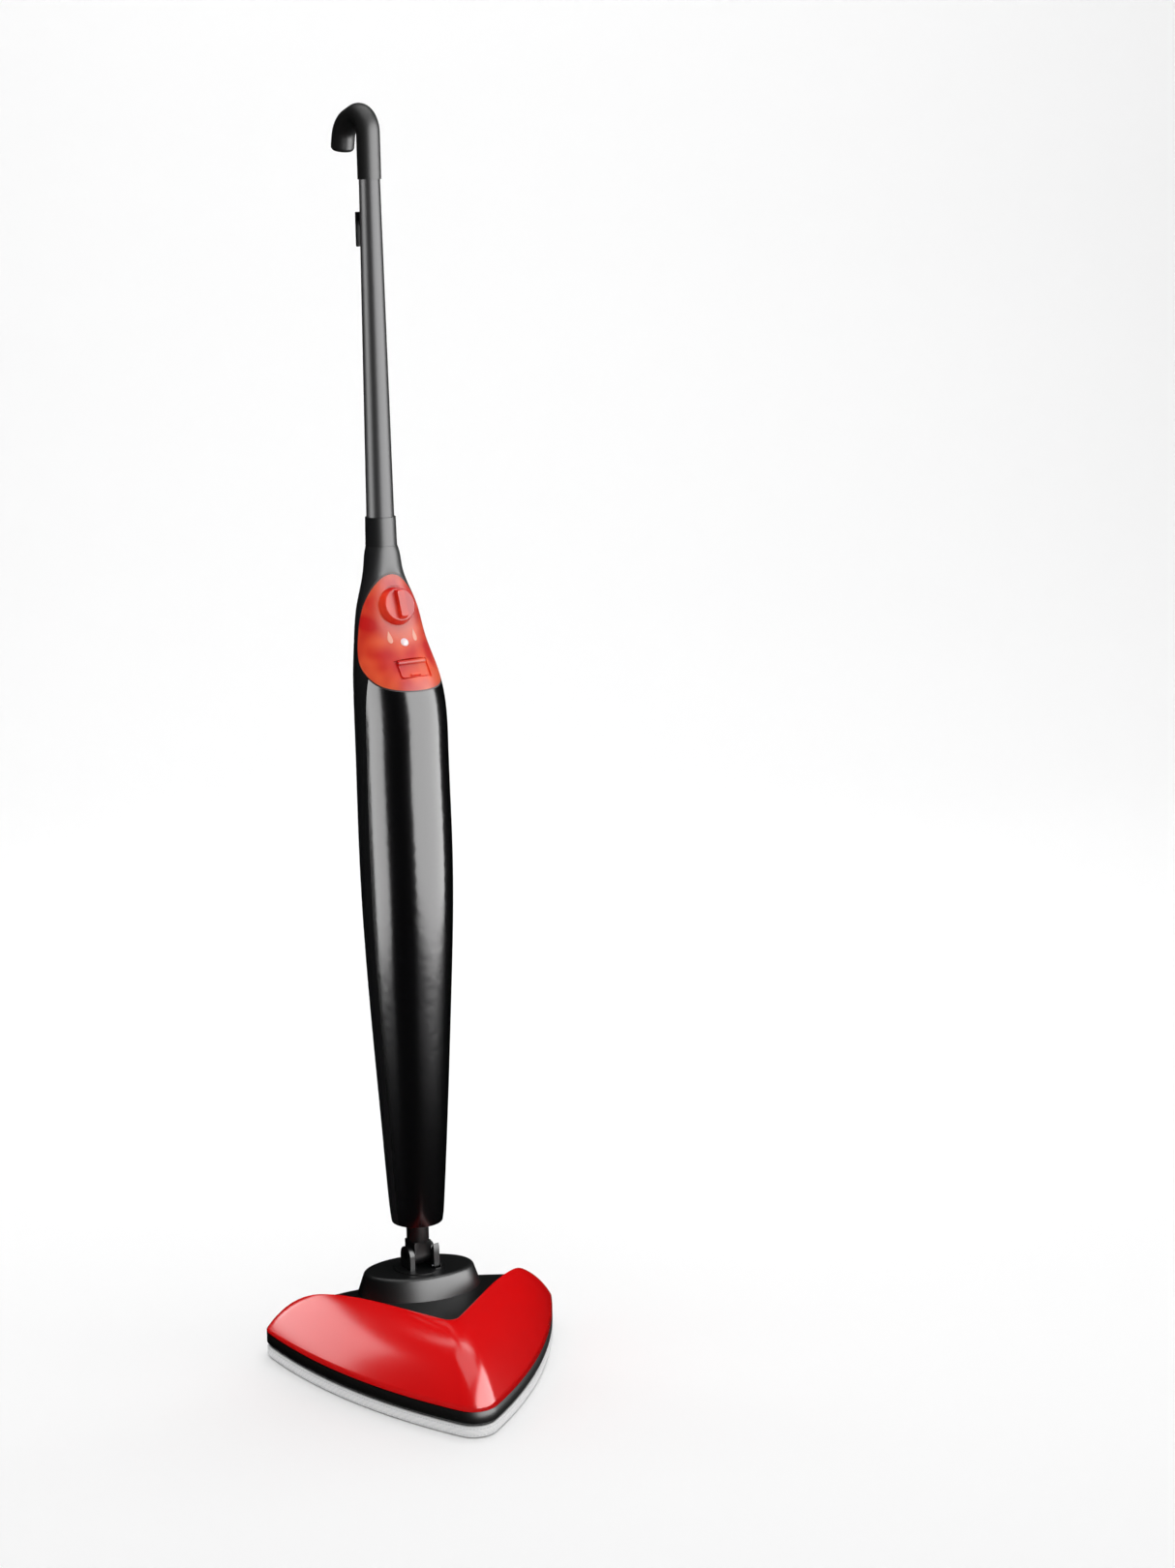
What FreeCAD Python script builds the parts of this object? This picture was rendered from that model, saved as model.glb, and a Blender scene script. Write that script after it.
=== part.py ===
import FreeCAD, Part
import math
import os

from FreeCAD import Placement, Rotation, Vector

os.makedirs("parts", exist_ok=True)

# Steam mop.  Millimetres.  +Z is up and the floor is z = 0.  The origin lies on the
# floor under the swivel axis of the floor head.  -Y is the side with the control panel.

# ---- floor head: a bowed triangle that points forward ----
head_width = 240.0          # between the centres of the two rear corner arcs
head_depth = 230.5          # from the front corner's centre to the rear corners' line
head_rear = 38.0            # how far the rear corners' line lies behind the swivel axis
corner_radius = 22.5
leg_bow = 0.06              # bow of the two front edges, as a share of their chord
rear_bow = 0.08             # bow of the rear edge
head_turn = -16.0           # degrees that the head stands turned under the handle

pad_thickness = 12.8
pad_inset = 1.0
strip_thickness = 1.2       # hook-and-loop strips
strip_depth = 16.0
steam_plate_thickness = 2.0
plate_margin = 7.0          # steam plate to the outline
steam_hole_radius = 1.5
rim_height = 12.0
rim_wall = 2.6
frame_floor = 2.6
shell_wall = 2.6
shell_rise = 53.0           # crown of the red shell above the rim
dome_centre = -61.0         # y of the dome's highest point
dome_start = 33.0           # slope angles of the dome's profile, at the rim and at the top
dome_end = 88.0
dome_shrink = 0.56          # how much smaller the outline is at the top
deck_rise = 40.0            # level of the deck above the rim
deck_tip = -127.0           # y where the two inner edges of the arms would meet
deck_half_angle = 36.2      # of each inner edge, from the middle
deck_rounding = 9.0         # of that corner
deck_gap = 0.4
flange_depth = 24.0         # inner wall of the shell's arms
boss_half_width = 53.0
boss_half_depth = 33.0
boss_draft = 7.0            # how much wider each way the boss is at the deck
boss_height = 21.0          # boss above the deck
boss_wall = 2.6
boss_edge = 5.0             # rounding of its top edge
boss_foot = 6.0             # how far it reaches under the deck's surface
screw_radius = 1.6
screw_head_radius = 3.2
screw_head_height = 2.0
screw_length = 12.0         # thread in the post
post_radius = 4.2

# ---- swivel turret and neck ----
turret_radius = 24.0
turret_thickness = 6.0
turret_gap = 0.4
shaft_radius = 12.0
shaft_length = 26.0
bush_wall = 2.6
running_gap = 0.06
steam_bore = 5.3
spigot_radius = 5.0
clip_width = 3.6
clip_thickness = 1.6
clip_depth = 1.2            # how deep it sits in the shaft
clip_rise = 0.6             # above the shaft's end
pivot_rise = 13.0           # pitch axis above the turret's face
ear_gap = 18.6              # clear width between the two ears
ear_thickness = 5.0
ear_radius = 9.3
pin_radius = 3.5
stem_radius = 10.7
stem_flange_radius = 20.5
knuckle_gap = 0.3           # between the knuckle and each ear
neck_length = 34.0          # pitch axis to the underside of the casing
latch_width = 6.0
latch_thickness = 4.5
latch_height = 22.0
latch_pin_radius = 1.5

# ---- casing: height above its underside, centre y, half width, half depth ----
casing_wall = 2.4
casing_stations = [
    (0.0, 0.0, 24.4, 24.4),
    (14.0, 0.0, 26.0, 26.4),
    (44.0, 0.0, 27.8, 29.2),
    (159.0, 0.0, 34.2, 37.8),
    (273.0, 0.0, 40.0, 44.6),
    (386.0, 0.2, 42.3, 47.0),
    (467.0, 1.2, 41.9, 46.2),
    (508.0, 3.4, 41.0, 45.0),
    (526.0, 6.8, 39.6, 41.8),
    (549.0, 13.8, 36.6, 32.0),
    (576.0, 19.6, 33.0, 22.0),
    (602.0, 23.2, 26.4, 17.0),
    (629.0, 26.4, 18.4, 14.6),
    (646.0, 27.5, 14.6, 14.0),
]
split_y = -6.0              # parting plane between front and rear casing
casing_screw_heights = (20.0, 150.0, 236.0, 512.0)
casing_boss_radius = 3.4
casing_screw_radius = 1.4
casing_head_radius = 2.4
casing_head_y = 4.0         # where each screw's head seats
seal_width = 1.2
# side view of the panel's edge, height above the casing's underside and y
panel_edge = [
    (516.5, -60.0), (518.0, -40.0), (523.0, -18.0), (532.0, -1.0), (540.0, 9.0),
    (550.0, 14.5), (566.0, 17.0), (584.0, 17.2), (601.0, 16.4), (614.0, 14.4),
    (623.0, 11.2), (634.0, 0.0), (641.0, -60.0),
]

# ---- controls ----
knob_height = 592.0         # centre of the knob above the casing's underside
knob_tilt = 19.0
knob_radius = 17.8
knob_thickness = 8.0
knob_grip = (7.0, 30.0, 5.5)
knob_gap = 0.5
seat_depth = 1.0            # flat seat of the dial under the panel's surface
seat_margin = 1.4
seat_thickness = 3.2
knob_shaft_radius = 3.0
regulator_size = (16.0, 16.0, 9.0)
board_size = (36.0, 44.0, 1.6)
lens_height = 560.0
lens_tilt = 31.0
lens_radius = 4.0
filler_height = 539.0
filler_tilt = 36.0
pocket_depth = 5.0
pocket_half = (16.5, 10.0)
flap_half = (14.0, 8.0)
flap_thickness = 1.8
flap_pin_radius = 1.0
filler_half = (10.0, 5.6)
filler_seal_thickness = 1.2

# ---- tank, pump and boiler, as heights above the casing's underside ----
tank_bottom = 262.0
tank_top = 505.0
tank_wall = 1.8
tank_gap = 1.4
wire_gap = 1.0              # wiring to the tank
boiler_bottom = 36.0
boiler_height = 84.0
boiler_radius = 17.0
jacket_wall = 2.2
pump_bottom = 172.0
pump_height = 62.0
pump_radius = 13.0
pump_mount_wall = 4.0
pump_mount_length = 5.0
hose_radius = 3.2
hose_bore = 1.8
wire_radius = 2.4
wire_y = 23.0
gland_height = 150.0
gland_radius = 6.6
gland_length = 20.0
cord_bore_radius = 3.6

# ---- handle ----
collar_length = 26.0
collar_radius = 14.6
pole_y = 27.5
pole_top = 992.0            # top of the pole above the casing's underside
pole_low_radius = 13.2
pole_high_radius = 9.4
pole_wall = 1.5
pole_socket = 8.0           # pole length held in the casing
grip_radius = 10.7
grip_wall = 2.6
grip_sleeve = 16.0          # straight part of the crook over the pole
crook_rise = 24.5           # straight part above the pole
first_bend = 16.0
first_turn = 108.0
crook_run = 11.0
second_bend = 21.0
second_turn = 60.0
crook_tip = 7.0             # straight end of the crook
cap_length = 5.0
hook_height = 940.0         # pivot of the upper cord hook above the casing's underside
hook_reach = 20.5
hook_length = 36.0
hook_width = 9.0
hook_thickness = 3.2
lower_hook_height = 112.0
lower_hook_reach = 14.0
hook_stud_radius = 2.0

# ---- levels that follow ----
strip_bottom = pad_thickness
plate_bottom = strip_bottom + strip_thickness
rim_bottom = plate_bottom
floor_bottom = plate_bottom + steam_plate_thickness
floor_top = floor_bottom + frame_floor
rim_top = rim_bottom + rim_height
deck_top = rim_top + deck_rise
boss_top = deck_top + boss_height
turret_face = boss_top + 0.6
turret_under = turret_face - turret_thickness
shaft_bottom = turret_under - shaft_length
pivot_z = turret_face + pivot_rise
latch_x = ear_gap / 2 + 1.4
latch_y = -ear_radius - 5.0
latch_z = turret_face + 3.0
casing_bottom = pivot_z + neck_length
casing_top = casing_bottom + casing_stations[-1][0]
pole_bottom = casing_top - pole_socket
X = Vector(1, 0, 0)
Y = Vector(0, 1, 0)
Z = Vector(0, 0, 1)


def cylinder(radius, length, base, axis=Z):
    return Part.makeCylinder(radius, length, Vector(*base), axis)


def tube(radius, bore, length, base, axis=Z):
    overrun = axis * 1.0
    hole = Part.makeCylinder(bore, length + 2, Vector(*base) - overrun, axis)
    return cylinder(radius, length, base, axis).cut(hole)


def block(low, high):
    size = [high[i] - low[i] for i in range(3)]
    return Part.makeBox(*size, Vector(*low))


def at_tilt(shape, tilt, point):
    """Put a shape made with its outward side on +Z on a face that leans back by tilt."""
    placed = shape.copy()
    placed.Placement = Placement(Vector(*point), Rotation(X, 90.0 - tilt))
    return placed


def turned(shape):
    placed = shape.copy()
    placed.rotate(Vector(0, 0, 0), Z, head_turn)
    return placed


def export(name, shape):
    shape.exportStep("parts/" + name + ".step")


# ---------------------------------------------------------------- floor head forms
def head_corners(scale):
    """Corner centres of the head's outline, drawn in towards the dome's centre."""
    rear = dome_centre + (head_rear - dome_centre) * scale
    front = dome_centre + (head_rear - head_depth - dome_centre) * scale
    half = head_width / 2 * scale
    return [Vector(0, front, 0), Vector(half, rear, 0), Vector(-half, rear, 0)]


def bowed(start, end, bow):
    chord = end - start
    outward = Vector(chord.y, -chord.x, 0).normalize()
    middle = (start + end) * 0.5 + outward * (bow * chord.Length)
    return Part.Arc(start, middle, end).toShape()


def head_wire(scale, z, growth=0.0):
    front, right, left = head_corners(scale)
    sides = [bowed(front, right, leg_bow), bowed(right, left, rear_bow), bowed(left, front, leg_bow)]
    wire = Part.Wire(sides).makeOffset2D(corner_radius * scale + growth)
    wire.translate(Vector(0, 0, z))
    return wire


def head_prism(z_low, z_high, growth=0.0):
    return Part.Face(head_wire(1.0, z_low, growth)).extrude(Z * (z_high - z_low))


def head_dome(rise, growth=0.0, levels=7):
    """Dome over the head's outline, from the rim's top to rise above it."""
    first = math.radians(dome_start)
    last = math.radians(dome_end)
    wires = []
    for step in range(levels):
        angle = first + (last - first) * step / (levels - 1)
        inward = (math.cos(first) - math.cos(angle)) / (math.cos(first) - math.cos(last))
        upward = (math.sin(angle) - math.sin(first)) / (math.sin(last) - math.sin(first))
        wires.append(head_wire(1.0 - dome_shrink * inward, rim_top + rise * upward, growth))
    return Part.makeLoft(wires, True, False)


def deck_prism(inset, z_low, z_high):
    """Space between the shell's arms: a V that opens towards the rear."""
    half = math.radians(deck_half_angle)
    tip_y = deck_tip + inset / math.sin(half)
    reach = head_depth * 1.4
    tip = Vector(0, tip_y, 0)
    right = tip + Vector(math.sin(half), math.cos(half), 0) * reach
    left = Vector(-right.x, right.y, 0)
    solid = Part.Face(Part.makePolygon([tip, right, left, tip])).extrude(Z * (z_high - z_low))
    at_tip = [e for e in solid.Edges if (e.CenterOfMass - tip).cross(Z).Length < 0.01]
    solid = solid.makeFillet(deck_rounding - inset, at_tip)
    solid.translate(Z * z_low)
    return solid


def oval(half_width, half_depth, z):
    return Part.Wire(Part.Ellipse(Vector(0, 0, z), half_width, half_depth).toShape())


def boss_form(inset, z_high):
    """The boss, wider at its foot, drawn in by inset."""
    base_z = deck_top - boss_foot
    spread = boss_draft * (boss_height + boss_foot) / boss_height
    taper = boss_draft * (z_high - boss_top) / boss_height
    wide, deep = boss_half_width - inset, boss_half_depth - inset
    foot = oval(wide + spread, deep + spread, base_z)
    head = oval(wide - taper, deep - taper, z_high)
    return Part.makeLoft([foot, head], True, True)


screw_places = [
    (0.0, head_rear - head_depth + 10.0),
    (48.0, -96.0), (-48.0, -96.0),
    (127.0, head_rear - 6.0), (-127.0, head_rear - 6.0),
    (60.0, head_rear + 16.0), (-60.0, head_rear + 16.0),
]


def screw_post(x, y, roof):
    """Post that takes a screw, from the frame's floor up to a roof."""
    room = roof.fuse(head_prism(floor_top, rim_top, -rim_wall - 0.2))
    post = cylinder(post_radius, shell_rise + 20, (x, y, floor_top)).common(room)
    return post.cut(cylinder(screw_radius, screw_length, (x, y, floor_top)))


# ---------------------------------------------------------------- floor head pieces
def cleaning_pad():
    return head_prism(0.0, pad_thickness, -pad_inset)


def hook_strips():
    strips = []
    for y, half in [(-136.0, 24.0), (-62.0, 58.0), (8.0, 92.0), (48.0, 104.0)]:
        low = (-half, y - strip_depth / 2, strip_bottom)
        high = (half, y + strip_depth / 2, plate_bottom)
        strips.append(block(low, high))
    return Part.makeCompound(strips)


def steam_plate():
    plate = head_prism(plate_bottom, floor_bottom, -plate_margin)
    for y, count, pitch in [(-100.0, 3, 26.0), (-26.0, 5, 28.0), (28.0, 7, 28.0)]:
        for index in range(count):
            x = (index - (count - 1) / 2) * pitch
            plate = plate.cut(cylinder(steam_hole_radius, 4.0, (x, y, plate_bottom - 1)))
    return plate


def base_frame():
    frame = head_prism(rim_bottom, rim_top)
    frame = frame.cut(head_prism(floor_top, rim_top + 1, -rim_wall))
    frame = frame.cut(head_prism(rim_bottom - 1, floor_bottom, -plate_margin))
    frame = frame.cut(cylinder(spigot_radius + 1, 20.0, (0, 0, rim_bottom)))
    for x, y in screw_places:
        frame = frame.cut(cylinder(screw_radius, 20.0, (x, y, rim_bottom)))
        head_hole = screw_head_height + 0.2
        frame = frame.cut(cylinder(screw_head_radius + 0.2, head_hole, (x, y, floor_bottom)))
    return frame


def head_shell():
    outer = head_dome(shell_rise)
    shell = outer.cut(head_dome(shell_rise - shell_wall, -shell_wall))
    shell = shell.cut(deck_prism(0.0, rim_top - 1, boss_top + 40))
    ring = deck_prism(-shell_wall, deck_top - flange_depth, boss_top + 40)
    ring = ring.cut(deck_prism(0.0, deck_top - flange_depth - 1, boss_top + 41))
    shell = shell.fuse(ring.common(outer))
    inner = head_dome(shell_rise - shell_wall / 2, -shell_wall / 2)
    for x, y in screw_places[:5]:
        shell = shell.fuse(screw_post(x, y, inner))
    return shell.removeSplitter()


def head_deck():
    space = deck_prism(deck_gap, rim_top, boss_top + 40)
    solid = head_dome(deck_rise).common(space)
    hollow = head_dome(deck_rise - shell_wall, -shell_wall)
    hollow = hollow.common(deck_prism(deck_gap + shell_wall, rim_top - 1, boss_top))
    boss = boss_form(0.0, boss_top)
    top_edges = [e for e in boss.Edges if abs(e.CenterOfMass.z - boss_top) < 0.01]
    boss = boss.makeFillet(boss_edge, top_edges)
    boss_inside = boss_form(boss_wall, turret_under - boss_wall)
    deck = solid.fuse(boss.common(space)).cut(hollow).cut(boss_inside)
    sleeve_base = turret_under - shaft_length + shell_wall
    deck = deck.fuse(cylinder(shaft_radius + bush_wall + 3, shaft_length, (0, 0, sleeve_base)))
    recess = turret_radius + turret_gap
    deck = deck.cut(cylinder(recess, 20.0, (0, 0, turret_under - turret_gap)))
    deck = deck.cut(cylinder(shaft_radius + bush_wall, 60.0, (0, 0, shaft_bottom - 12)))
    for x, y in screw_places[5:]:
        deck = deck.fuse(screw_post(x, y, head_dome(deck_rise - shell_wall / 2, -shell_wall / 2)))
    return deck.removeSplitter()


def foot_screws():
    screws = []
    for x, y in screw_places:
        shank = cylinder(screw_radius, floor_top - floor_bottom + screw_length - 1, (x, y, floor_bottom))
        head = cylinder(screw_head_radius, screw_head_height, (x, y, floor_bottom))
        screws.append(shank.fuse(head))
    return Part.makeCompound(screws)


def swivel_bush():
    length = shaft_length - clip_thickness - 2.0
    base = (0, 0, turret_under - turret_gap - length)
    return tube(shaft_radius + bush_wall, shaft_radius + running_gap, length, base)


def steam_manifold():
    body = cylinder(20.0, 9.0, (0, 0, floor_top))
    body = body.fuse(cylinder(spigot_radius, turret_under - 6 - floor_top, (0, 0, floor_top)))
    return body.cut(cylinder(steam_bore - 2.4, 90.0, (0, 0, floor_top - 1)))


# ---------------------------------------------------------------- turret and neck
def swivel_turret():
    disc = cylinder(turret_radius, turret_thickness, (0, 0, turret_under))
    shaft = cylinder(shaft_radius, shaft_length, (0, 0, shaft_bottom))
    turret = disc.fuse(shaft)
    for side in (-1, 1):
        inner = side * ear_gap / 2
        start = min(inner, inner + side * ear_thickness)
        ear = cylinder(ear_radius, ear_thickness, (start, 0, pivot_z), X)
        foot = block((start, -ear_radius, turret_face - 1), (start + ear_thickness, ear_radius, pivot_z))
        turret = turret.fuse(ear.fuse(foot))
    post_low = (ear_gap / 2 - 1.0, latch_y - latch_thickness / 2 - 1.5, turret_face - 1)
    post_high = (ear_gap / 2 + ear_thickness, -ear_radius + 1, turret_face + 5.0)
    turret = turret.fuse(block(post_low, post_high))
    slot_low = (latch_x - latch_width / 2 - 0.4, latch_y - 6, turret_face + 0.6)
    slot_high = (latch_x + latch_width / 2 + 0.4, latch_y + latch_thickness / 2 + 1.6, turret_face + 20)
    turret = turret.cut(block(slot_low, slot_high))
    turret = turret.cut(cylinder(pin_radius, 60.0, (-30, 0, pivot_z), X))
    turret = turret.cut(cylinder(latch_pin_radius, 40.0, (0, latch_y, latch_z), X))
    turret = turret.cut(cylinder(steam_bore, shaft_length + 4, (0, 0, shaft_bottom - 1)))
    inside = shaft_radius - clip_depth
    return turret.cut(tube(shaft_radius + 1, inside, clip_thickness, (0, 0, shaft_bottom + clip_rise)))


def turret_clip():
    inside = shaft_radius - clip_depth
    return tube(inside + clip_width, inside, clip_thickness, (0, 0, shaft_bottom + clip_rise))


def pitch_pin():
    half = ear_gap / 2 + ear_thickness
    return cylinder(pin_radius, 2 * half, (-half, 0, pivot_z), X)


def latch_pin():
    return cylinder(latch_pin_radius, latch_width + 4, (latch_x - latch_width / 2 - 2, latch_y, latch_z), X)


def park_latch():
    low = (latch_x - latch_width / 2, latch_y - latch_thickness / 2, latch_z)
    high = (latch_x + latch_width / 2, latch_y + latch_thickness / 2, latch_z + latch_height - 4)
    arm = block(low, high)
    arm = arm.fuse(cylinder(latch_thickness / 2, latch_width, (low[0], latch_y, latch_z), X))
    tip = Part.makePolygon([
        Vector(low[0], low[1], high[2] - 6), Vector(low[0], low[1], high[2]),
        Vector(low[0], low[1] + 1.2, high[2] + 4), Vector(low[0], high[1] + 1.6, high[2] - 4),
        Vector(low[0], high[1], high[2] - 7), Vector(low[0], low[1], high[2] - 6)])
    arm = arm.fuse(Part.Face(tip).extrude(X * latch_width))
    return arm.cut(cylinder(latch_pin_radius + running_gap, 40.0, (0, latch_y, latch_z), X))


def neck_stem():
    half = ear_gap / 2 - knuckle_gap
    knuckle = cylinder(ear_radius, 2 * half, (-half, 0, pivot_z), X)
    web = block((-half, -ear_radius, pivot_z), (half, ear_radius, pivot_z + 14))
    cone = Part.makeCone(ear_radius, stem_radius, 4.0, Vector(0, 0, pivot_z + ear_radius + 2), Z)
    stem = cylinder(stem_radius, neck_length - ear_radius + 20, (0, 0, pivot_z + ear_radius + 6))
    inner_floor = casing_bottom + casing_wall
    flange = cylinder(stem_flange_radius, 3.0, (0, 0, inner_floor))
    body = knuckle.fuse(web).fuse(cone).fuse(stem).fuse(flange)
    body = body.cut(cylinder(hose_radius + 0.1, 80.0, (0, 0, pivot_z + ear_radius + 2)))
    body = body.cut(cylinder(hose_bore, 20.0, (0, 0, pivot_z)))
    return body.cut(cylinder(pin_radius + running_gap, 60.0, (-30, 0, pivot_z), X))


# ---------------------------------------------------------------- casing forms
def casing_ring(centre, half_width, half_depth, z):
    """Ellipse that starts at its +X end, whichever axis is the longer."""
    middle = Vector(0, 0, 0)
    if half_width >= half_depth:
        edge = Part.Ellipse(middle, half_width, half_depth).toShape(0, 2 * math.pi)
    else:
        ellipse = Part.Ellipse(Vector(0, half_depth, 0), Vector(-half_width, 0, 0), middle)
        edge = ellipse.toShape(-math.pi / 2, 1.5 * math.pi)
    edge.translate(Vector(0, centre, z))
    return Part.Wire(edge)


def casing_form(inset=0.0, first=0.0):
    """Solid inside the casing's surface, drawn in by inset, from a height upwards."""
    rings = []
    for height, centre, half_width, half_depth in casing_stations:
        z = casing_bottom + height
        rings.append(casing_ring(centre, half_width - inset, half_depth - inset, z))
    form = Part.makeLoft(rings, True, False, False, 3)
    if first > 0.0:
        form = form.cut(block((-90, -90, 0), (90, 90, casing_bottom + first)))
    return form


def half_space(y_low, y_high, height_low=-5.0, height_high=900.0):
    return block((-90, y_low, casing_bottom + height_low), (90, y_high, casing_bottom + height_high))


def panel_prism(inset):
    """Space in front of the panel's edge curve, drawn in by inset."""
    points = [Vector(0, y, casing_bottom + height) for height, y in panel_edge]
    drawn = []
    for index, point in enumerate(points):
        before = points[max(index - 1, 0)]
        after = points[min(index + 1, len(points) - 1)]
        along = (after - before).normalize()
        drawn.append(point + Vector(0, -along.z, along.y) * inset)
    curve = Part.BSplineCurve()
    curve.interpolate(drawn)
    edge = Part.Wire([curve.toShape(), Part.makeLine(drawn[-1], drawn[0])])
    face = Part.Face(edge)
    face.translate(X * -90.0)
    return face.extrude(X * 180.0)


outer_form = casing_form()
casing_shell = outer_form.cut(casing_form(casing_wall, casing_wall))


def front_y(height):
    """Where the casing's front surface lies on the middle plane."""
    z = casing_bottom + height
    line = Part.makeLine(Vector(0, -100, z), Vector(0, 20, z))
    return line.common(outer_form).BoundBox.YMin


def on_front(height, depth=0.0, tilt=0.0):
    """Point at a depth under the front surface, along a face that leans back by tilt."""
    angle = math.radians(tilt)
    inward = depth * math.cos(angle), -depth * math.sin(angle)
    return 0.0, front_y(height) + inward[0], casing_bottom + height + inward[1]


# ---------------------------------------------------------------- casing pieces
def back_y(height):
    z = casing_bottom + height
    line = Part.makeLine(Vector(0, 0, z), Vector(0, 100, z))
    return line.common(outer_form).BoundBox.YMax


def casing_screw_places():
    """Screws at both sides, as far out as the casing allows."""
    places = []
    for height in casing_screw_heights:
        z = casing_bottom + height
        line = Part.makeLine(Vector(0, split_y, z), Vector(90, split_y, z)).common(outer_form)
        x = line.BoundBox.XMax - casing_wall - casing_boss_radius
        places += [(x, z), (-x, z)]
    return places


def casing_bosses(y_low, y_high):
    """Screw bosses along Y, kept inside the casing."""
    length = y_high - y_low
    bosses = [cylinder(casing_boss_radius, length, (x, y_low, z), Y) for x, z in casing_screw_places()]
    return outer_form.common(Part.makeCompound(bosses))


def front_casing():
    casing = casing_shell.common(half_space(-90, split_y, -1, panel_edge[4][0]))
    casing = casing.fuse(casing_bosses(split_y - 12.0, split_y))
    casing = casing.cut(panel_prism(0.0)).cut(casing_screws())
    return casing.cut(cylinder(stem_radius + 0.2, 30.0, (0, 0, casing_bottom - 10)))


def rear_casing():
    casing = casing_shell.cut(half_space(-90, split_y, -5, panel_edge[4][0]))
    casing = casing.fuse(casing_bosses(split_y, 90.0))
    casing = casing.cut(panel_prism(0.0)).cut(casing_screws())
    for x, z in casing_screw_places():
        casing = casing.cut(cylinder(casing_head_radius, 80.0, (x, casing_head_y, z), Y))
    casing = casing.cut(cylinder(stem_radius + 0.2, 30.0, (0, 0, casing_bottom - 10)))
    gland_z = casing_bottom + gland_height
    casing = casing.cut(cylinder(gland_radius, 40.0, (0, 10, gland_z), Y))
    casing = casing.cut(cylinder(pole_low_radius, 20.0, (0, pole_y, pole_bottom)))
    hook_z = casing_bottom + lower_hook_height
    return casing.cut(cylinder(hook_stud_radius, 40.0, (0, 10, hook_z), Y))


def control_panel():
    panel = casing_shell.common(panel_prism(seal_width))
    seat_point = on_front(knob_height, seat_depth, knob_tilt)
    seat_radius = knob_radius + seat_margin
    seat = at_tilt(cylinder(seat_radius, seat_thickness, (0, 0, -seat_thickness)), knob_tilt, seat_point)
    above = at_tilt(cylinder(seat_radius, 20.0, (0, 0, 0)), knob_tilt, seat_point)
    panel = panel.cut(above).fuse(seat.common(outer_form))
    floor_point = on_front(filler_height, pocket_depth, filler_tilt)
    u, v = pocket_half
    pocket = at_tilt(block((-u, -v, 0), (u, v, 30)), filler_tilt, floor_point)
    tray = at_tilt(block((-u - 2, -v - 2, -flap_thickness), (u + 2, v + 2, 30)), filler_tilt, floor_point)
    panel = panel.fuse(tray.common(casing_form(0.4))).cut(pocket)
    u, v = filler_half
    mouth = at_tilt(block((-u, -v, -30), (u, v, 1)), filler_tilt, floor_point)
    shaft_hole = cylinder(knob_shaft_radius + 0.3, 30.0, (0, 0, -15))
    shaft_hole = at_tilt(shaft_hole, knob_tilt, on_front(knob_height))
    lens_hole = at_tilt(cylinder(lens_radius, 20.0, (0, 0, -10)), lens_tilt, on_front(lens_height))
    panel = panel.cut(mouth).cut(shaft_hole).cut(lens_hole)
    return panel.removeSplitter()


def panel_seal():
    return casing_shell.common(panel_prism(0.0)).cut(panel_prism(seal_width))


def steam_knob():
    skirt = Part.makeCone(knob_radius, knob_radius - 2.4, knob_thickness, Vector(0, 0, 0), Z)
    top_edge = [e for e in skirt.Edges if abs(e.BoundBox.ZMin - knob_thickness) < 0.01]
    skirt = skirt.makeFillet(1.5, top_edge[:1])
    width, length, rise = knob_grip
    grip = block((-width / 2, -length / 2, 0), (width / 2, length / 2, knob_thickness + rise))
    height = knob_thickness + rise
    grip = grip.common(Part.makeCone(knob_radius - 1, knob_radius - 6, height, Vector(0, 0, 0), Z))
    knob = skirt.fuse(grip)
    knob = knob.cut(cylinder(knob_shaft_radius, knob_thickness, (0, 0, -1)))
    return at_tilt(knob, knob_tilt, on_front(knob_height, seat_depth - knob_gap, knob_tilt))


def regulator_shaft():
    shaft = cylinder(knob_shaft_radius, 6.0 + knob_thickness - 1 + knob_gap, (0, 0, -6.0 - knob_gap))
    return at_tilt(shaft, knob_tilt, on_front(knob_height, seat_depth - knob_gap, knob_tilt))


def steam_regulator():
    w, h, d = regulator_size
    body = block((-w / 2, -h / 2, -d), (w / 2, h / 2, 0))
    body = body.cut(cylinder(knob_shaft_radius + running_gap, d, (0, 0, -3.0)))
    return at_tilt(body, knob_tilt, on_front(knob_height, 4.6, knob_tilt))


def control_board():
    w, h, d = board_size
    depth = 4.6 + regulator_size[2]
    board = block((-w / 2, -h / 2 - 6, -d), (w / 2, h / 2 - 6, 0))
    return at_tilt(board, knob_tilt, on_front(knob_height, depth, knob_tilt))


def indicator_lens():
    stem = cylinder(lens_radius, casing_wall + 1.0, (0, 0, -casing_wall - 1.0))
    dome = Part.makeSphere(lens_radius * 1.25, Vector(0, 0, -lens_radius * 0.75))
    dome = dome.common(block((-9, -9, 0), (9, 9, 9)))
    return at_tilt(stem.fuse(dome), lens_tilt, on_front(lens_height))


def indicator_led():
    led = cylinder(2.5, 5.0, (0, 0, -casing_wall - 7.0))
    return at_tilt(led, lens_tilt, on_front(lens_height))


flap_hinge = (0.0, flap_half[1] - flap_pin_radius, flap_thickness + 0.6)


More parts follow.
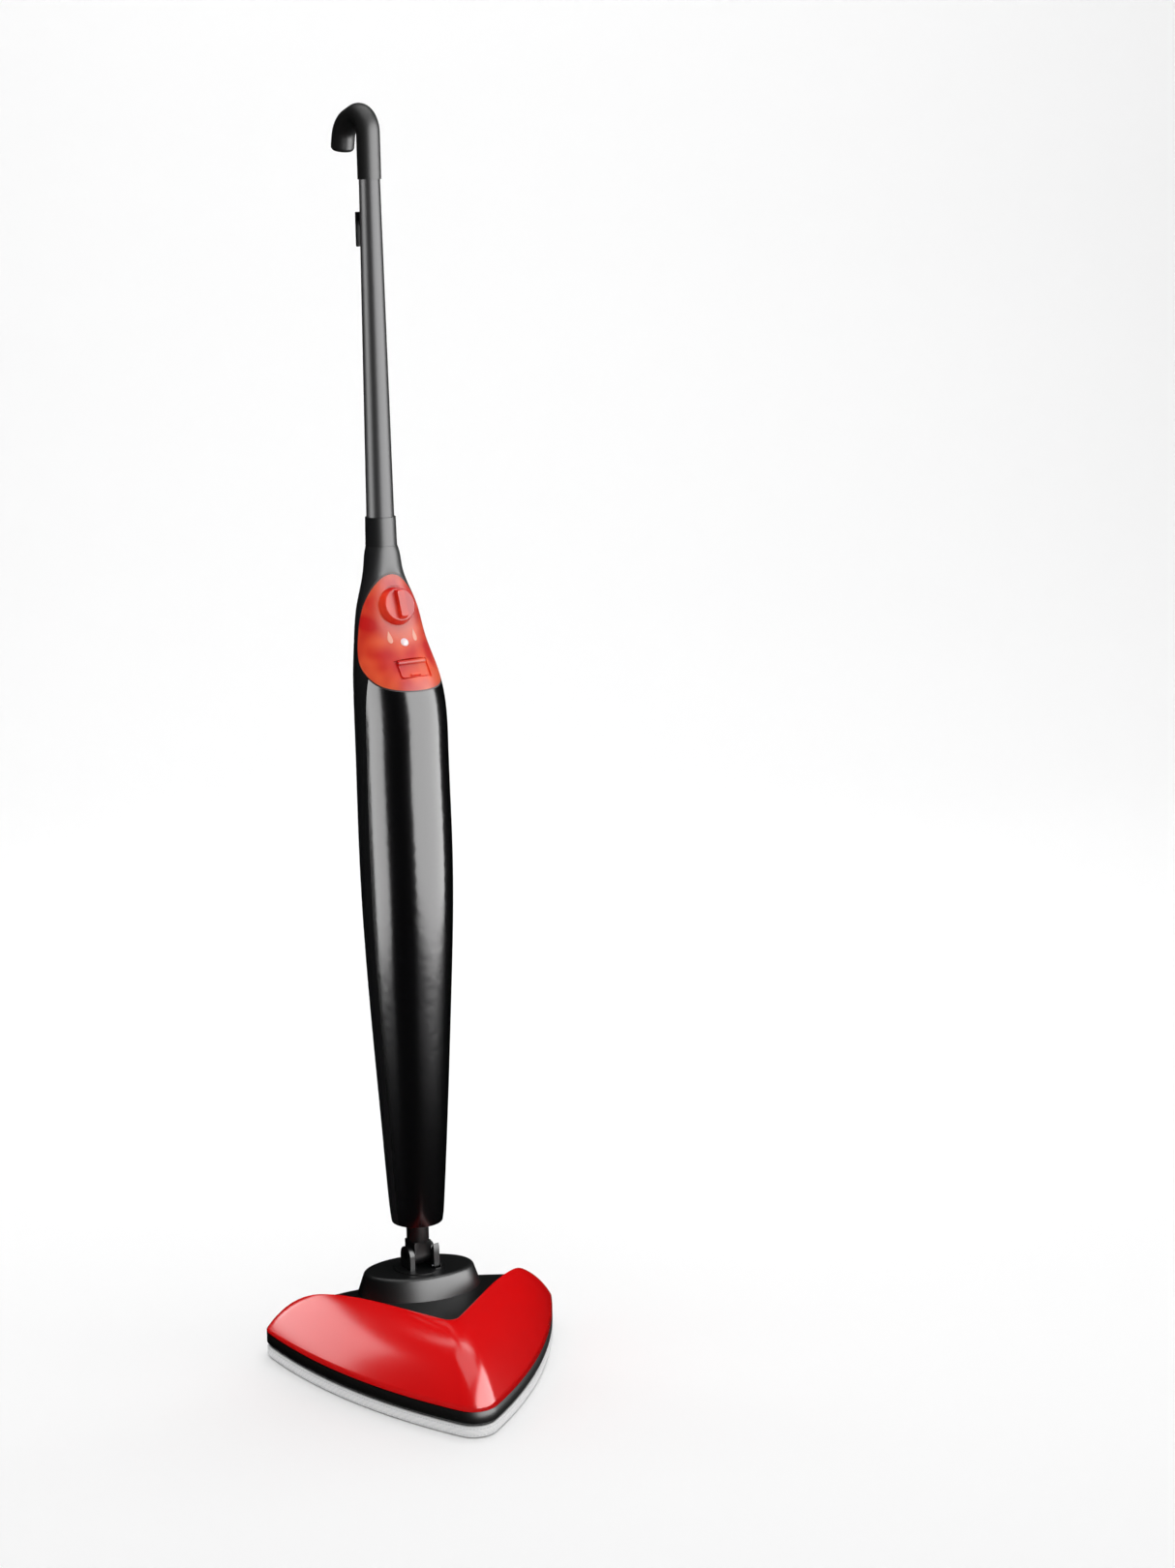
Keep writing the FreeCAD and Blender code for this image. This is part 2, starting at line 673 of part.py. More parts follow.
def filler_flap():
    u, v = flap_half
    plate = block((-u, -v, 0.3), (u, v, 0.3 + flap_thickness))
    corners = [e for e in plate.Edges if abs(e.CenterOfMass.z - 0.3 - flap_thickness / 2) < 0.01]
    plate = plate.makeFillet(2.5, [e for e in corners if e.CenterOfMass.y < 0])
    lift = block((-5.0, -v + 0.8, 0.3), (5.0, -v + 2.6, flap_thickness + 2.6))
    knuckle = cylinder(flap_pin_radius + 1.2, 2 * u, (-u, flap_hinge[1], flap_hinge[2]), X)
    bore = cylinder(flap_pin_radius + running_gap, 60, (-30, flap_hinge[1], flap_hinge[2]), X)
    flap = plate.fuse(lift).fuse(knuckle).cut(bore)
    flap = flap.cut(block((-u - 1, -v - 1, -3), (u + 1, v + 3, 0.3)))
    return at_tilt(flap, filler_tilt, on_front(filler_height, pocket_depth, filler_tilt))


def flap_pin():
    pin = cylinder(flap_pin_radius, 2 * flap_half[0], (-flap_half[0], flap_hinge[1], flap_hinge[2]), X)
    return at_tilt(pin, filler_tilt, on_front(filler_height, pocket_depth, filler_tilt))


# ---------------------------------------------------------------- inside the casing
def neck_room(inset):
    """Upright passage from the filler mouth down into the tank."""
    u, v = filler_half
    _, y, z = on_front(filler_height, pocket_depth + flap_thickness, filler_tilt)
    low = (-u - inset, y - v - inset, casing_bottom + tank_top - 30)
    high = (u + inset, y + v + inset, z + 12)
    below = block((-60, -60, -90), (60, 60, -0.3 - filler_seal_thickness))
    return block(low, high).common(at_tilt(below, filler_tilt, (0.0, y, z)))


def water_tank():
    low, high = tank_bottom, tank_top
    tank_back = wire_y - wire_radius - wire_gap
    room = half_space(-90, tank_back, low, high)
    body = casing_form(casing_wall + tank_gap).common(room)
    inner_room = half_space(-90, tank_back - tank_wall, low + tank_wall, high - tank_wall)
    hollow = casing_form(casing_wall + tank_gap + tank_wall).common(inner_room)
    tank = body.fuse(neck_room(tank_wall).common(casing_form(casing_wall + 0.4))).cut(hollow)
    tank = tank.cut(neck_room(0.0).common(half_space(-90, 90, low + 20, 900)))
    outlet = cylinder(hose_radius, 12.0, (0, 0, casing_bottom + low - 8))
    tank = tank.fuse(outlet).cut(cylinder(hose_bore, 20.0, (0, 0, casing_bottom + low - 10)))
    return tank.removeSplitter()


def filler_gasket():
    u, v = filler_half
    ring = block((-u - 2, -v - 2, -filler_seal_thickness), (u + 2, v + 2, 0))
    ring = ring.cut(block((-u, -v, -9), (u, v, 9)))
    return at_tilt(ring, filler_tilt, on_front(filler_height, pocket_depth + flap_thickness, filler_tilt))


def suction_tube():
    top = casing_bottom + tank_bottom - 8
    bottom = casing_bottom + pump_bottom + pump_height + 4
    return tube(hose_radius, hose_bore, top - bottom, (0, 0, bottom))


def pump():
    base = casing_bottom + pump_bottom
    body = cylinder(pump_radius, pump_height, (0, 0, base))
    body = body.fuse(cylinder(hose_radius, pump_height + 8, (0, 0, base - 4)))
    return body.cut(cylinder(hose_bore, pump_height + 20, (0, 0, base - 10)))


def pump_bracket():
    base = casing_bottom + pump_bottom
    reach = pump_radius + pump_mount_wall
    outside = block((-reach, -8, base + 14), (reach, 8, base + pump_height - 14))
    inside = block((-reach + 2.4, -9, base + 16.4), (reach - 2.4, 9, base + pump_height - 16.4))
    back = block((-reach, 8, base + 14), (reach, pump_radius + 2.4, base + pump_height - 14))
    frame = outside.cut(inside).fuse(back)
    return frame.cut(cylinder(pump_radius, pump_height + 20, (0, 0, base - 10)))


def pump_mounts():
    base = casing_bottom + pump_bottom
    outside = pump_radius + pump_mount_wall
    levels = (base + 2.0, base + pump_height - 2.0 - pump_mount_length)
    return Part.makeCompound([tube(outside, pump_radius, pump_mount_length, (0, 0, z)) for z in levels])


def feed_tube():
    bottom = casing_bottom + boiler_bottom + boiler_height + 5.0
    top = casing_bottom + pump_bottom - 4.0
    return tube(hose_radius, hose_bore, top - bottom, (0, 0, bottom))


def boiler():
    base = casing_bottom + boiler_bottom
    body = cylinder(boiler_radius, boiler_height, (0, 0, base))
    edges = [e for e in body.Edges if len(e.Vertexes) == 1]
    body = body.makeFillet(4.0, edges)
    body = body.fuse(cylinder(hose_radius, boiler_height + 10, (0, 0, base - 5)))
    body = body.cut(cylinder(boiler_radius - 5, boiler_height - 12, (0, 0, base + 6)))
    return body.cut(cylinder(hose_bore, boiler_height + 30, (0, 0, base - 10)))


def boiler_jacket():
    base = casing_bottom + boiler_bottom + 8.0
    return tube(boiler_radius + jacket_wall, boiler_radius, boiler_height - 16.0, (0, 0, base))


def thermostat():
    top = casing_bottom + boiler_bottom + boiler_height
    disc = cylinder(4.5, 5.0, (0, -9.0, top))
    return disc.fuse(block((-7, -10, top + 5.0), (7, -8, top + 6.5)))


def thermal_fuse():
    top = casing_bottom + boiler_bottom + boiler_height
    return cylinder(2.0, 14.0, (-7.0, 9.0, top + 2.0), X)


def steam_tube():
    top = casing_bottom + boiler_bottom - 5.0
    bottom = pivot_z + ear_radius + 2.0
    return tube(hose_radius, hose_bore, top - bottom, (0, 0, bottom))


def gland_inner_y():
    return back_y(gland_height) - casing_wall - 3.0


def wiring():
    """Wires from the cord's gland up to the control board."""
    low = casing_bottom + gland_height
    top = casing_bottom + knob_height - 40
    bend = gland_inner_y() - wire_y
    start = Vector(0, wire_y + bend, low)
    up = Vector(0, wire_y, low + bend)
    middle = Vector(0, wire_y + bend * (1 - math.sqrt(0.5)), low + bend * (1 - math.sqrt(0.5)))
    path = Part.Wire([Part.Arc(start, middle, up).toShape(), Part.makeLine(up, Vector(0, wire_y, top))])
    ring = Part.Wire(Part.Circle(start, Y, wire_radius).toShape())
    return path.makePipeShell([ring], True, True)


def cord_gland():
    z = casing_bottom + gland_height
    inner = gland_inner_y()
    body = cylinder(gland_radius, gland_length, (0, inner, z), Y)
    lip = cylinder(gland_radius + 1.6, 1.6, (0, inner, z), Y)
    nose = Part.makeCone(gland_radius, gland_radius - 1.6, 8.0, Vector(0, inner + gland_length, z), Y)
    body = body.fuse(lip.common(casing_form(casing_wall))).fuse(nose)
    return body.cut(cylinder(cord_bore_radius, gland_length + 20, (0, inner - 1, z), Y))


def hook_plate(reach, length, foot):
    """Side view of a cord hook on an upright wall: foot at the wall, finger beyond it."""
    t = hook_thickness
    finger = block((-hook_width / 2, reach - t, -length), (hook_width / 2, reach, foot))
    arm = block((-hook_width / 2, 0, 0), (hook_width / 2, reach, foot))
    hook = finger.fuse(arm)
    edges = [e for e in hook.Edges if abs(e.CenterOfMass.x) < 0.01 and abs(e.CenterOfMass.y - reach) < 0.01
             and (e.CenterOfMass.z > foot - 0.1 or e.CenterOfMass.z < -length + 0.1)]
    return hook.makeFillet(t * 0.45, edges)


def lower_cord_hook():
    z = casing_bottom + lower_hook_height
    wall_y = back_y(lower_hook_height) - casing_wall
    hook = hook_plate(lower_hook_reach + casing_wall, 26.0, 7.0)
    hook.translate(Vector(0, wall_y, z - 3.5))
    stud = cylinder(hook_stud_radius, lower_hook_reach, (0, wall_y - 2.0, z), Y)
    return hook.cut(outer_form).fuse(stud)


# ---------------------------------------------------------------- handle pieces
def pole_radius(height):
    low = pole_bottom - casing_bottom
    share = (height - low) / (pole_top - low)
    return pole_low_radius + (pole_high_radius - pole_low_radius) * share


def pole_form(inset):
    """The pole's tapered outside, drawn in by inset."""
    length = casing_bottom + pole_top - pole_bottom
    low, high = pole_low_radius - inset, pole_high_radius - inset
    return Part.makeCone(low, high, length, Vector(0, pole_y, pole_bottom), Z)


def pole_tube():
    pole = pole_form(0.0).cut(pole_form(pole_wall))
    hook_z = casing_bottom + hook_height
    return pole.cut(cylinder(hook_stud_radius, 30.0, (0, pole_y, hook_z), Y))


def collar():
    base = Vector(0, pole_y, casing_top)
    outside = Part.makeCone(collar_radius, collar_radius - 0.5, collar_length, base, Z)
    return outside.cut(pole_form(0.0))


def crook_heading():
    """Direction in which the crook ends."""
    angle = math.radians(first_turn + second_turn)
    return Vector(0, math.sin(angle), math.cos(angle))


def crook_path():
    """Centre line of the crook: up from the pole, back over it and down."""
    start = Vector(0, pole_y, casing_bottom + pole_top - grip_sleeve)
    top = Vector(0, pole_y, casing_bottom + pole_top + crook_rise)

    def bend(point, heading, radius, turn):
        """Arc that bends a heading (degrees from +Z towards +Y) further over."""
        def on_arc(angle):
            a = math.radians(heading)
            b = math.radians(heading + angle)
            shift = Vector(0, math.cos(a) - math.cos(b), math.sin(b) - math.sin(a))
            return point + shift * radius
        return Part.Arc(point, on_arc(turn / 2), on_arc(turn)).toShape(), on_arc(turn)

    first, over = bend(top, 0.0, first_bend, first_turn)
    angle = math.radians(first_turn)
    down = over + Vector(0, math.sin(angle), math.cos(angle)) * crook_run
    second, low = bend(down, first_turn, second_bend, second_turn)
    end = low + crook_heading() * crook_tip
    runs = [Part.makeLine(start, top), first, Part.makeLine(over, down), second, Part.makeLine(low, end)]
    return Part.Wire(runs), start, end


def crook_sweep(radius):
    path, start, _ = crook_path()
    ring = Part.Wire(Part.Circle(start, Z, radius).toShape())
    return path.makePipeShell([ring], True, True)


def crook_handle():
    crook = crook_sweep(grip_radius).cut(crook_sweep(grip_radius - grip_wall))
    return crook.cut(pole_form(0.0))


def crook_end_cap():
    _, _, end = crook_path()
    heading = crook_heading()
    plug = Part.makeCylinder(grip_radius - grip_wall - 0.5, 6.0, end - heading * 6.0, heading)
    cap = Part.makeCylinder(grip_radius, cap_length, end, heading)
    rim = [e for e in cap.Edges if len(e.Vertexes) == 1 and (e.CenterOfMass - end).Length > 3.0]
    return plug.fuse(cap.makeFillet(cap_length - 1.0, rim))


def upper_cord_hook():
    z = casing_bottom + hook_height
    face = pole_radius(hook_height) + 0.4
    hook = hook_plate(hook_reach - face, hook_length - 12.0, 7.0)
    hook = hook.fuse(block((-hook_width / 2, 0, -5.0), (hook_width / 2, 3.0, 7.0)))
    hook.translate(Vector(0, pole_y + face, z))
    return hook.cut(cylinder(hook_stud_radius + running_gap, 40.0, (0, pole_y, z), Y))


def hook_screw():
    z = casing_bottom + hook_height
    start = pole_y + pole_radius(hook_height) - pole_wall - 1.0
    return cylinder(hook_stud_radius, hook_reach - pole_radius(hook_height) + pole_wall, (0, start, z), Y)


def casing_screws():
    screws = []
    for x, z in casing_screw_places():
        head = cylinder(casing_head_radius, 1.6, (x, casing_head_y, z), Y)
        shank = cylinder(casing_screw_radius, 14.0, (x, casing_head_y - 14.0, z), Y)
        screws.append(head.fuse(shank))
    return Part.makeCompound(screws)


head_nodes = [
    ("cleaning_pad", cleaning_pad), ("hook_strips", hook_strips), ("steam_plate", steam_plate),
    ("base_frame", base_frame), ("head_shell", head_shell), ("head_deck", head_deck),
    ("swivel_bush", swivel_bush), ("steam_manifold", steam_manifold), ("foot_screws", foot_screws),
]
body_nodes = [
    ("swivel_turret", swivel_turret), ("turret_clip", turret_clip), ("pitch_pin", pitch_pin),
    ("latch_pin", latch_pin), ("park_latch", park_latch), ("neck_stem", neck_stem),
    ("front_casing", front_casing), ("rear_casing", rear_casing), ("control_panel", control_panel),
    ("panel_seal", panel_seal), ("steam_knob", steam_knob), ("regulator_shaft", regulator_shaft),
    ("steam_regulator", steam_regulator), ("control_board", control_board),
    ("indicator_lens", indicator_lens), ("indicator_led", indicator_led),
    ("filler_flap", filler_flap), ("flap_pin", flap_pin), ("filler_gasket", filler_gasket),
    ("water_tank", water_tank), ("suction_tube", suction_tube), ("pump", pump),
    ("pump_bracket", pump_bracket), ("pump_mounts", pump_mounts), ("feed_tube", feed_tube),
    ("boiler", boiler), ("boiler_jacket", boiler_jacket), ("thermostat", thermostat),
    ("thermal_fuse", thermal_fuse), ("steam_tube", steam_tube), ("wiring", wiring),
    ("cord_gland", cord_gland), ("lower_cord_hook", lower_cord_hook), ("collar", collar),
    ("pole_tube", pole_tube), ("crook_handle", crook_handle), ("crook_end_cap", crook_end_cap),
    ("upper_cord_hook", upper_cord_hook), ("hook_screw", hook_screw),
    ("casing_screws", casing_screws),
]
for name, make in head_nodes:
    export(name, turned(make()))
for name, make in body_nodes:
    export(name, make())
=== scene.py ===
import math

import bmesh
import bpy
from mathutils import Matrix, Vector
from mathutils.bvhtree import BVHTree


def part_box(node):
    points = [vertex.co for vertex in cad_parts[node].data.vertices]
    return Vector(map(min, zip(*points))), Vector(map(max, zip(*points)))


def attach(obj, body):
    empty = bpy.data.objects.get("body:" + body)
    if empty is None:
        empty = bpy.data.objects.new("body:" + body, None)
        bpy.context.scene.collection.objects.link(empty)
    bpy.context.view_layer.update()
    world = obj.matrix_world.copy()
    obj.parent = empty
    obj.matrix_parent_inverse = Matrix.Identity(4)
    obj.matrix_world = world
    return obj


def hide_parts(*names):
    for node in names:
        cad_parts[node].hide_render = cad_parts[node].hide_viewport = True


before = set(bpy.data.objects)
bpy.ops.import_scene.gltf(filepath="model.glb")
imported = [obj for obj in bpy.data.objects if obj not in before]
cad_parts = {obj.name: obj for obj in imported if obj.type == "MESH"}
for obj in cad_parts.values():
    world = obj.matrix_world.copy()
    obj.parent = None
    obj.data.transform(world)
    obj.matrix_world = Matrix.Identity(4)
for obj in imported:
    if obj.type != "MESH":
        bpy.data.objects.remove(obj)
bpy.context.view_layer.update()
MM = 0.001

# ---------------------------------------------------------------- camera
# The mop is seen from a little above and from its front left, so that the control panel
# and the front corner of the floor head both turn to the right.
view_turn = Matrix.Rotation(math.radians(-30.0), 3, "Z")
camera_distance = 2.80
camera_height = 1.155
camera_aim = math.radians(3.49)
camera_pitch = math.radians(12.08)
camera_roll = math.radians(-1.06)
camera_reach = 1.9651                     # focal length as a share of the frame's height

forward = Vector((math.sin(camera_aim) * math.cos(camera_pitch),
                  math.cos(camera_aim) * math.cos(camera_pitch), -math.sin(camera_pitch)))
level = Vector((math.cos(camera_aim), -math.sin(camera_aim), 0.0))
upward = level.cross(forward)
across = level * math.cos(camera_roll) + upward * math.sin(camera_roll)
upright = upward * math.cos(camera_roll) - level * math.sin(camera_roll)
camera_turn = view_turn @ Matrix((across, upright, -forward)).transposed()
camera_place = view_turn @ Vector((0.0, -camera_distance, camera_height))
camera_data = bpy.data.cameras.new("camera")
camera_data.sensor_fit = "VERTICAL"
camera_data.sensor_height = 36.0
camera_data.lens = camera_reach * camera_data.sensor_height
camera = bpy.data.objects.new("camera", camera_data)
camera.matrix_world = Matrix.Translation(camera_place) @ camera_turn.to_4x4()
bpy.context.collection.objects.link(camera)
bpy.context.scene.camera = camera
bpy.context.scene.view_settings.view_transform = "Standard"


# ---------------------------------------------------------------- studio
# A sheet of matt white card lies under the mop and rolls up behind it, lit evenly by wide
# soft boxes overhead.  Tall boxes beside the mop draw the long pale lines on its glossy skins.
def linear(code):
    """sRGB hex to the linear colour that a shader takes."""
    values = [int(code[i:i + 2], 16) / 255 for i in (0, 2, 4)]
    values = [v / 12.92 if v <= 0.04045 else ((v + 0.055) / 1.055) ** 2.4 for v in values]
    return (*values, 1.0)


def add_node(tree, kind, settings=None, links=None):
    """Adds one node with its settings, by socket or property name, and the links into it."""
    node = tree.nodes.new(kind)
    for name, value in (settings or {}).items():
        if name in node.inputs:
            node.inputs[name].default_value = value
        else:
            setattr(node, name, value)
    for name, source in (links or {}).items():
        tree.links.new(source, node.inputs[name])
    return node


def new_finish(name, settings):
    """A material with one Principled shader, whose sockets are set by name."""
    material = bpy.data.materials.new(name)
    material.use_nodes = True
    shader = material.node_tree.nodes["Principled BSDF"]
    for socket, value in settings.items():
        shader.inputs[socket].default_value = value
    return material, material.node_tree, shader


def mesh_piece(name, points, faces, material, smooth=True):
    mesh = bpy.data.meshes.new(name)
    mesh.from_pydata([tuple(p) for p in points], [], faces)
    mesh.materials.append(material)
    piece = bpy.data.objects.new(name, mesh)
    bpy.context.collection.objects.link(piece)
    if smooth:
        mesh.shade_smooth()
    return piece


card, card_tree, card_shader = new_finish("matt_card", {"Roughness": 0.95, "Specular IOR Level": 0.1})
card_noise = add_node(card_tree, "ShaderNodeTexNoise", {"Scale": 8.0, "Detail": 2.0})
card_ramp = add_node(card_tree, "ShaderNodeValToRGB", None, {"Fac": card_noise.outputs["Fac"]})
card_ramp.color_ramp.elements[0].color = linear("F7F7F7")
card_ramp.color_ramp.elements[1].color = linear("FAFAFA")
card_tree.links.new(card_ramp.outputs["Color"], card_shader.inputs["Base Color"])
card_half, card_front, card_back, card_bend, card_top = 9.0, -9.0, 2.4, 1.4, 4.5
bend_steps = 16
card_line = [(card_front, 0.0)]
for step in range(bend_steps + 1):
    angle = math.radians(90.0 * step / bend_steps)
    card_line.append((card_back + card_bend * math.sin(angle), card_bend * (1 - math.cos(angle))))
card_line.append((card_back + card_bend, card_top))
card_points = [view_turn @ Vector((side * card_half, y, z)) for y, z in card_line for side in (-1, 1)]
card_faces = [(2 * i, 2 * i + 1, 2 * i + 3, 2 * i + 2) for i in range(len(card_line) - 1)]
backdrop = mesh_piece("card", card_points, card_faces, card)
backdrop.visible_glossy = False


def soft_box(name, size, place, target, power, gloss_only=False, for_pieces=None):
    """A soft box; one that is gloss_only shows in glossy skins and lights nothing else."""
    lamp = bpy.data.lights.new(name, "AREA")
    lamp.shape = "RECTANGLE"
    lamp.size, lamp.size_y = size
    lamp.energy = power
    light = bpy.data.objects.new(name, lamp)
    light.location = view_turn @ Vector(place)
    aim = view_turn @ (Vector(target) - Vector(place))
    light.rotation_euler = aim.to_track_quat("-Z", "Y").to_euler()
    light.visible_camera = False
    light.visible_diffuse = not gloss_only
    if for_pieces:
        light.light_linking.receiver_collection = for_pieces
    bpy.context.collection.objects.link(light)


def around(azimuth, distance, height):
    """A place round the mop; the angle is counted from the camera's side to the right."""
    angle = math.radians(azimuth)
    return (distance * math.sin(angle), -distance * math.cos(angle), height)


# The left box is flagged off from all but the casing and the pole, and the one behind it
# from all but the red shell.  The card and the air are kept out of the glossy skins too.
tall_pieces = bpy.data.collections.new("lit_by_box_left")
low_pieces = bpy.data.collections.new("lit_by_box_back_left")
left_distance, left_height = 1.7, 0.75
right_distance, right_height = 1.5, 0.97
soft_box("box_left", (1.20, 1.9), around(-75, left_distance, left_height),
         (0.0, 0.0, left_height), 62.0, True, tall_pieces)
soft_box("box_back_left", (1.6, 1.1), around(-116, left_distance, left_height),
         (0.0, 0.0, 0.55), 26.0, True, low_pieces)
soft_box("box_right", (3.1, 2.3), around(58, right_distance, right_height),
         (0.0, 0.0, right_height), 225.0, True)
soft_box("box_above", (3.0, 2.4), (0.2, -0.3, 3.2), (0.0, 0.0, 0.0), 50.0)
soft_box("box_wall", (4.0, 1.2), (0.0, 1.2, 3.6), (0.0, 3.8, 1.0), 60.0)
world = bpy.data.worlds.new("studio")
world.use_nodes = True
air = world.node_tree.nodes["Background"]
air.inputs["Color"].default_value = linear("FFFFFF")
air_fill, air_seen = 0.45, 0.95           # strength as fill light, and as the plain surround
seen = add_node(world.node_tree, "ShaderNodeLightPath")
strength = add_node(world.node_tree, "ShaderNodeMapRange", {"To Min": air_fill, "To Max": air_seen},
                    {"Value": seen.outputs["Is Camera Ray"]})
world.node_tree.links.new(strength.outputs["Result"], air.inputs["Strength"])
world.cycles_visibility.glossy = False
bpy.context.scene.world = world

# ---------------------------------------------------------------- cleaning pad
# A washable pad of white looped microfibre on a felt core, cut to the head's outline: a
# triangle with bowed sides and round corners.  Hook tapes under the head hold it.
HEAD_TURN = Matrix.Rotation(math.radians(-16.0), 3, "Z")
head_width, head_depth, head_rear = 240.0, 230.5, 38.0
corner_radius, leg_bow, rear_bow = 22.5, 0.06, 0.08


def side_points(start, end, bow, count=40):
    """Points and headings along one bowed side."""
    chord = end - start
    outward = Vector((chord.y, -chord.x)).normalized()
    rise = bow * chord.length
    radius = (chord.length ** 2 / 4 + rise ** 2) / (2 * rise)
    centre = (start + end) / 2 + outward * (rise - radius)
    first = math.atan2(start.y - centre.y, start.x - centre.x)
    sweep = 2 * math.asin(chord.length / 2 / radius)
    headings = [first + sweep * i / count for i in range(count + 1)]
    return [(centre + Vector((math.cos(a), math.sin(a))) * radius, a) for a in headings]


def head_outline(growth=0.0, corner_count=12):
    """The outline in millimetres, counter-clockwise from the front corner."""
    front = Vector((0.0, head_rear - head_depth))
    right = Vector((head_width / 2, head_rear))
    left = Vector((-head_width / 2, head_rear))
    sides = [side_points(front, right, leg_bow), side_points(right, left, rear_bow),
             side_points(left, front, leg_bow)]
    reach = corner_radius + growth
    points = []
    for index, side in enumerate(sides):
        points += [p + Vector((math.cos(a), math.sin(a))) * reach for p, a in side[:-1]]
        corner, start = side[-1]
        swing = (sides[(index + 1) % 3][0][1] - start) % (2 * math.pi)
        for step in range(corner_count):
            angle = start + swing * step / corner_count
            points.append(corner + Vector((math.cos(angle), math.sin(angle))) * reach)
    return points


def on_head(x, y, z):
    return HEAD_TURN @ Vector((x, y, z)) * MM


def outline_ring(growth, z):
    return [on_head(p.x, p.y, z) for p in head_outline(growth)]


def ring_faces(count, rows, closed):
    """Quads between rings of points laid one after another."""
    faces = []
    for row in range(rows if closed else rows - 1):
        a, b = row * count, (row + 1) % rows * count
        faces += [(a + i, a + (i + 1) % count, b + (i + 1) % count, b + i) for i in range(count)]
    return faces


def microfibre_terry():
    """Looped microfibre: bright, dull and deep, with loops about 1.5 mm across drawn at 3 mm; the grey
    between the loops is painted shade, mixed with random patches.
    """
    material, tree, shader = new_finish("microfibre_terry", {
        "Roughness": 0.95, "Sheen Weight": 0.3, "Sheen Roughness": 0.6, "Specular IOR Level": 0.2})
    coords = add_node(tree, "ShaderNodeTexCoord")
    loops = add_node(tree, "ShaderNodeTexVoronoi", {"Scale": 1 / (3.0 * MM), "Randomness": 0.9},
                     {"Vector": coords.outputs["Object"]})
    patches = add_node(tree, "ShaderNodeTexNoise", {"Scale": 1 / (14 * MM), "Detail": 4.0},
                       {"Vector": coords.outputs["Object"]})
    # The grey that the ramp puts between the loops is painted shade; the patches mixed in are random tone.
    depth = add_node(tree, "ShaderNodeMix", {"data_type": "FLOAT", "Factor": 0.45},
                     {"A": loops.outputs["Distance"], "B": patches.outputs["Fac"]})
    ramp = add_node(tree, "ShaderNodeValToRGB", None, {"Fac": depth.outputs["Result"]})
    ramp.color_ramp.elements[0].color = linear("FAFAFA")
    ramp.color_ramp.elements[1].color = linear("CFD1D3")
    ramp.color_ramp.elements[1].position = 0.85
    bump = add_node(tree, "ShaderNodeBump", {"Strength": 0.7, "Distance": 1.2 * MM, "invert": True},
                    {"Height": loops.outputs["Distance"]})
    tree.links.new(ramp.outputs["Color"], shader.inputs["Base Color"])
    tree.links.new(bump.outputs["Normal"], shader.inputs["Normal"])
    return material


def swell(piece, pressure, most, floor_z, ceiling_z, frames=20, stiffness=30.0):
    """Fills a pad by a short cloth simulation and keeps it between floor and head."""
    start = [v.co.copy() for v in piece.data.vertices]
    cloth = piece.modifiers.new("fill", "CLOTH")
    cloth.settings.use_pressure = True
    cloth.settings.uniform_pressure_force = pressure
    cloth.settings.quality = 4
    cloth.settings.effector_weights.gravity = 0.0
    cloth.settings.tension_stiffness = stiffness
    cloth.settings.compression_stiffness = stiffness
    scene = bpy.context.scene
    for step in range(1, frames + 1):
        scene.frame_set(step)
    graph = bpy.context.evaluated_depsgraph_get()
    filled = bpy.data.meshes.new_from_object(piece.evaluated_get(graph))
    moved = [v.co.copy() for v in filled.vertices]
    piece.modifiers.remove(cloth)
    scene.frame_set(1)
    for vertex, old, new in zip(piece.data.vertices, start, moved):
        shift = new - old
        if shift.length > most:
            shift *= most / shift.length
        vertex.co = old + shift
        vertex.co.z = min(max(vertex.co.z, floor_z), ceiling_z)
    bpy.data.meshes.remove(filled)


def bake(piece):
    """Applies what modifiers a piece has."""
    graph = bpy.context.evaluated_depsgraph_get()
    made = bpy.data.meshes.new_from_object(piece.evaluated_get(graph))
    piece.modifiers.clear()
    piece.data = made
    return piece


terry = microfibre_terry()
pad_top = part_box("cleaning_pad")[1][2] / MM
pad_rows = [(-7.0, 1.6), (-3.4, 3.2), (-2.6, 5.4),
            (-2.6, pad_top - 4.6), (-3.4, pad_top - 2.6), (-7.0, pad_top - 1.2)]
pad_points = [p for growth, z in pad_rows for p in outline_ring(growth, z)]
pad_count = len(head_outline())
pad_faces = ring_faces(pad_count, len(pad_rows), False)
pad_faces += [tuple(reversed(range(pad_count))), tuple(range(len(pad_points) - pad_count, len(pad_points)))]
pad = mesh_piece("pad_body", pad_points, pad_faces, terry)
remesh = pad.modifiers.new("even", "REMESH")
remesh.mode = "VOXEL"
remesh.voxel_size = 4.0 * MM
bake(pad)
swell(pad, 4.0, 6.0 * MM, 0.0, (pad_top - 0.3) * MM)
rounder = pad.modifiers.new("round", "SUBSURF")
rounder.levels = rounder.render_levels = 1
bake(pad)
head_clearance = 0.2
pad_low = min(vertex.co.z for vertex in pad.data.vertices)
pad_high = max(vertex.co.z for vertex in pad.data.vertices)
for vertex in pad.data.vertices:
    vertex.co.z = (vertex.co.z - pad_low) / (pad_high - pad_low) * (pad_top - head_clearance) * MM
pad.data.shade_smooth()
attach(pad, "floor_head")
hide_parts("cleaning_pad")

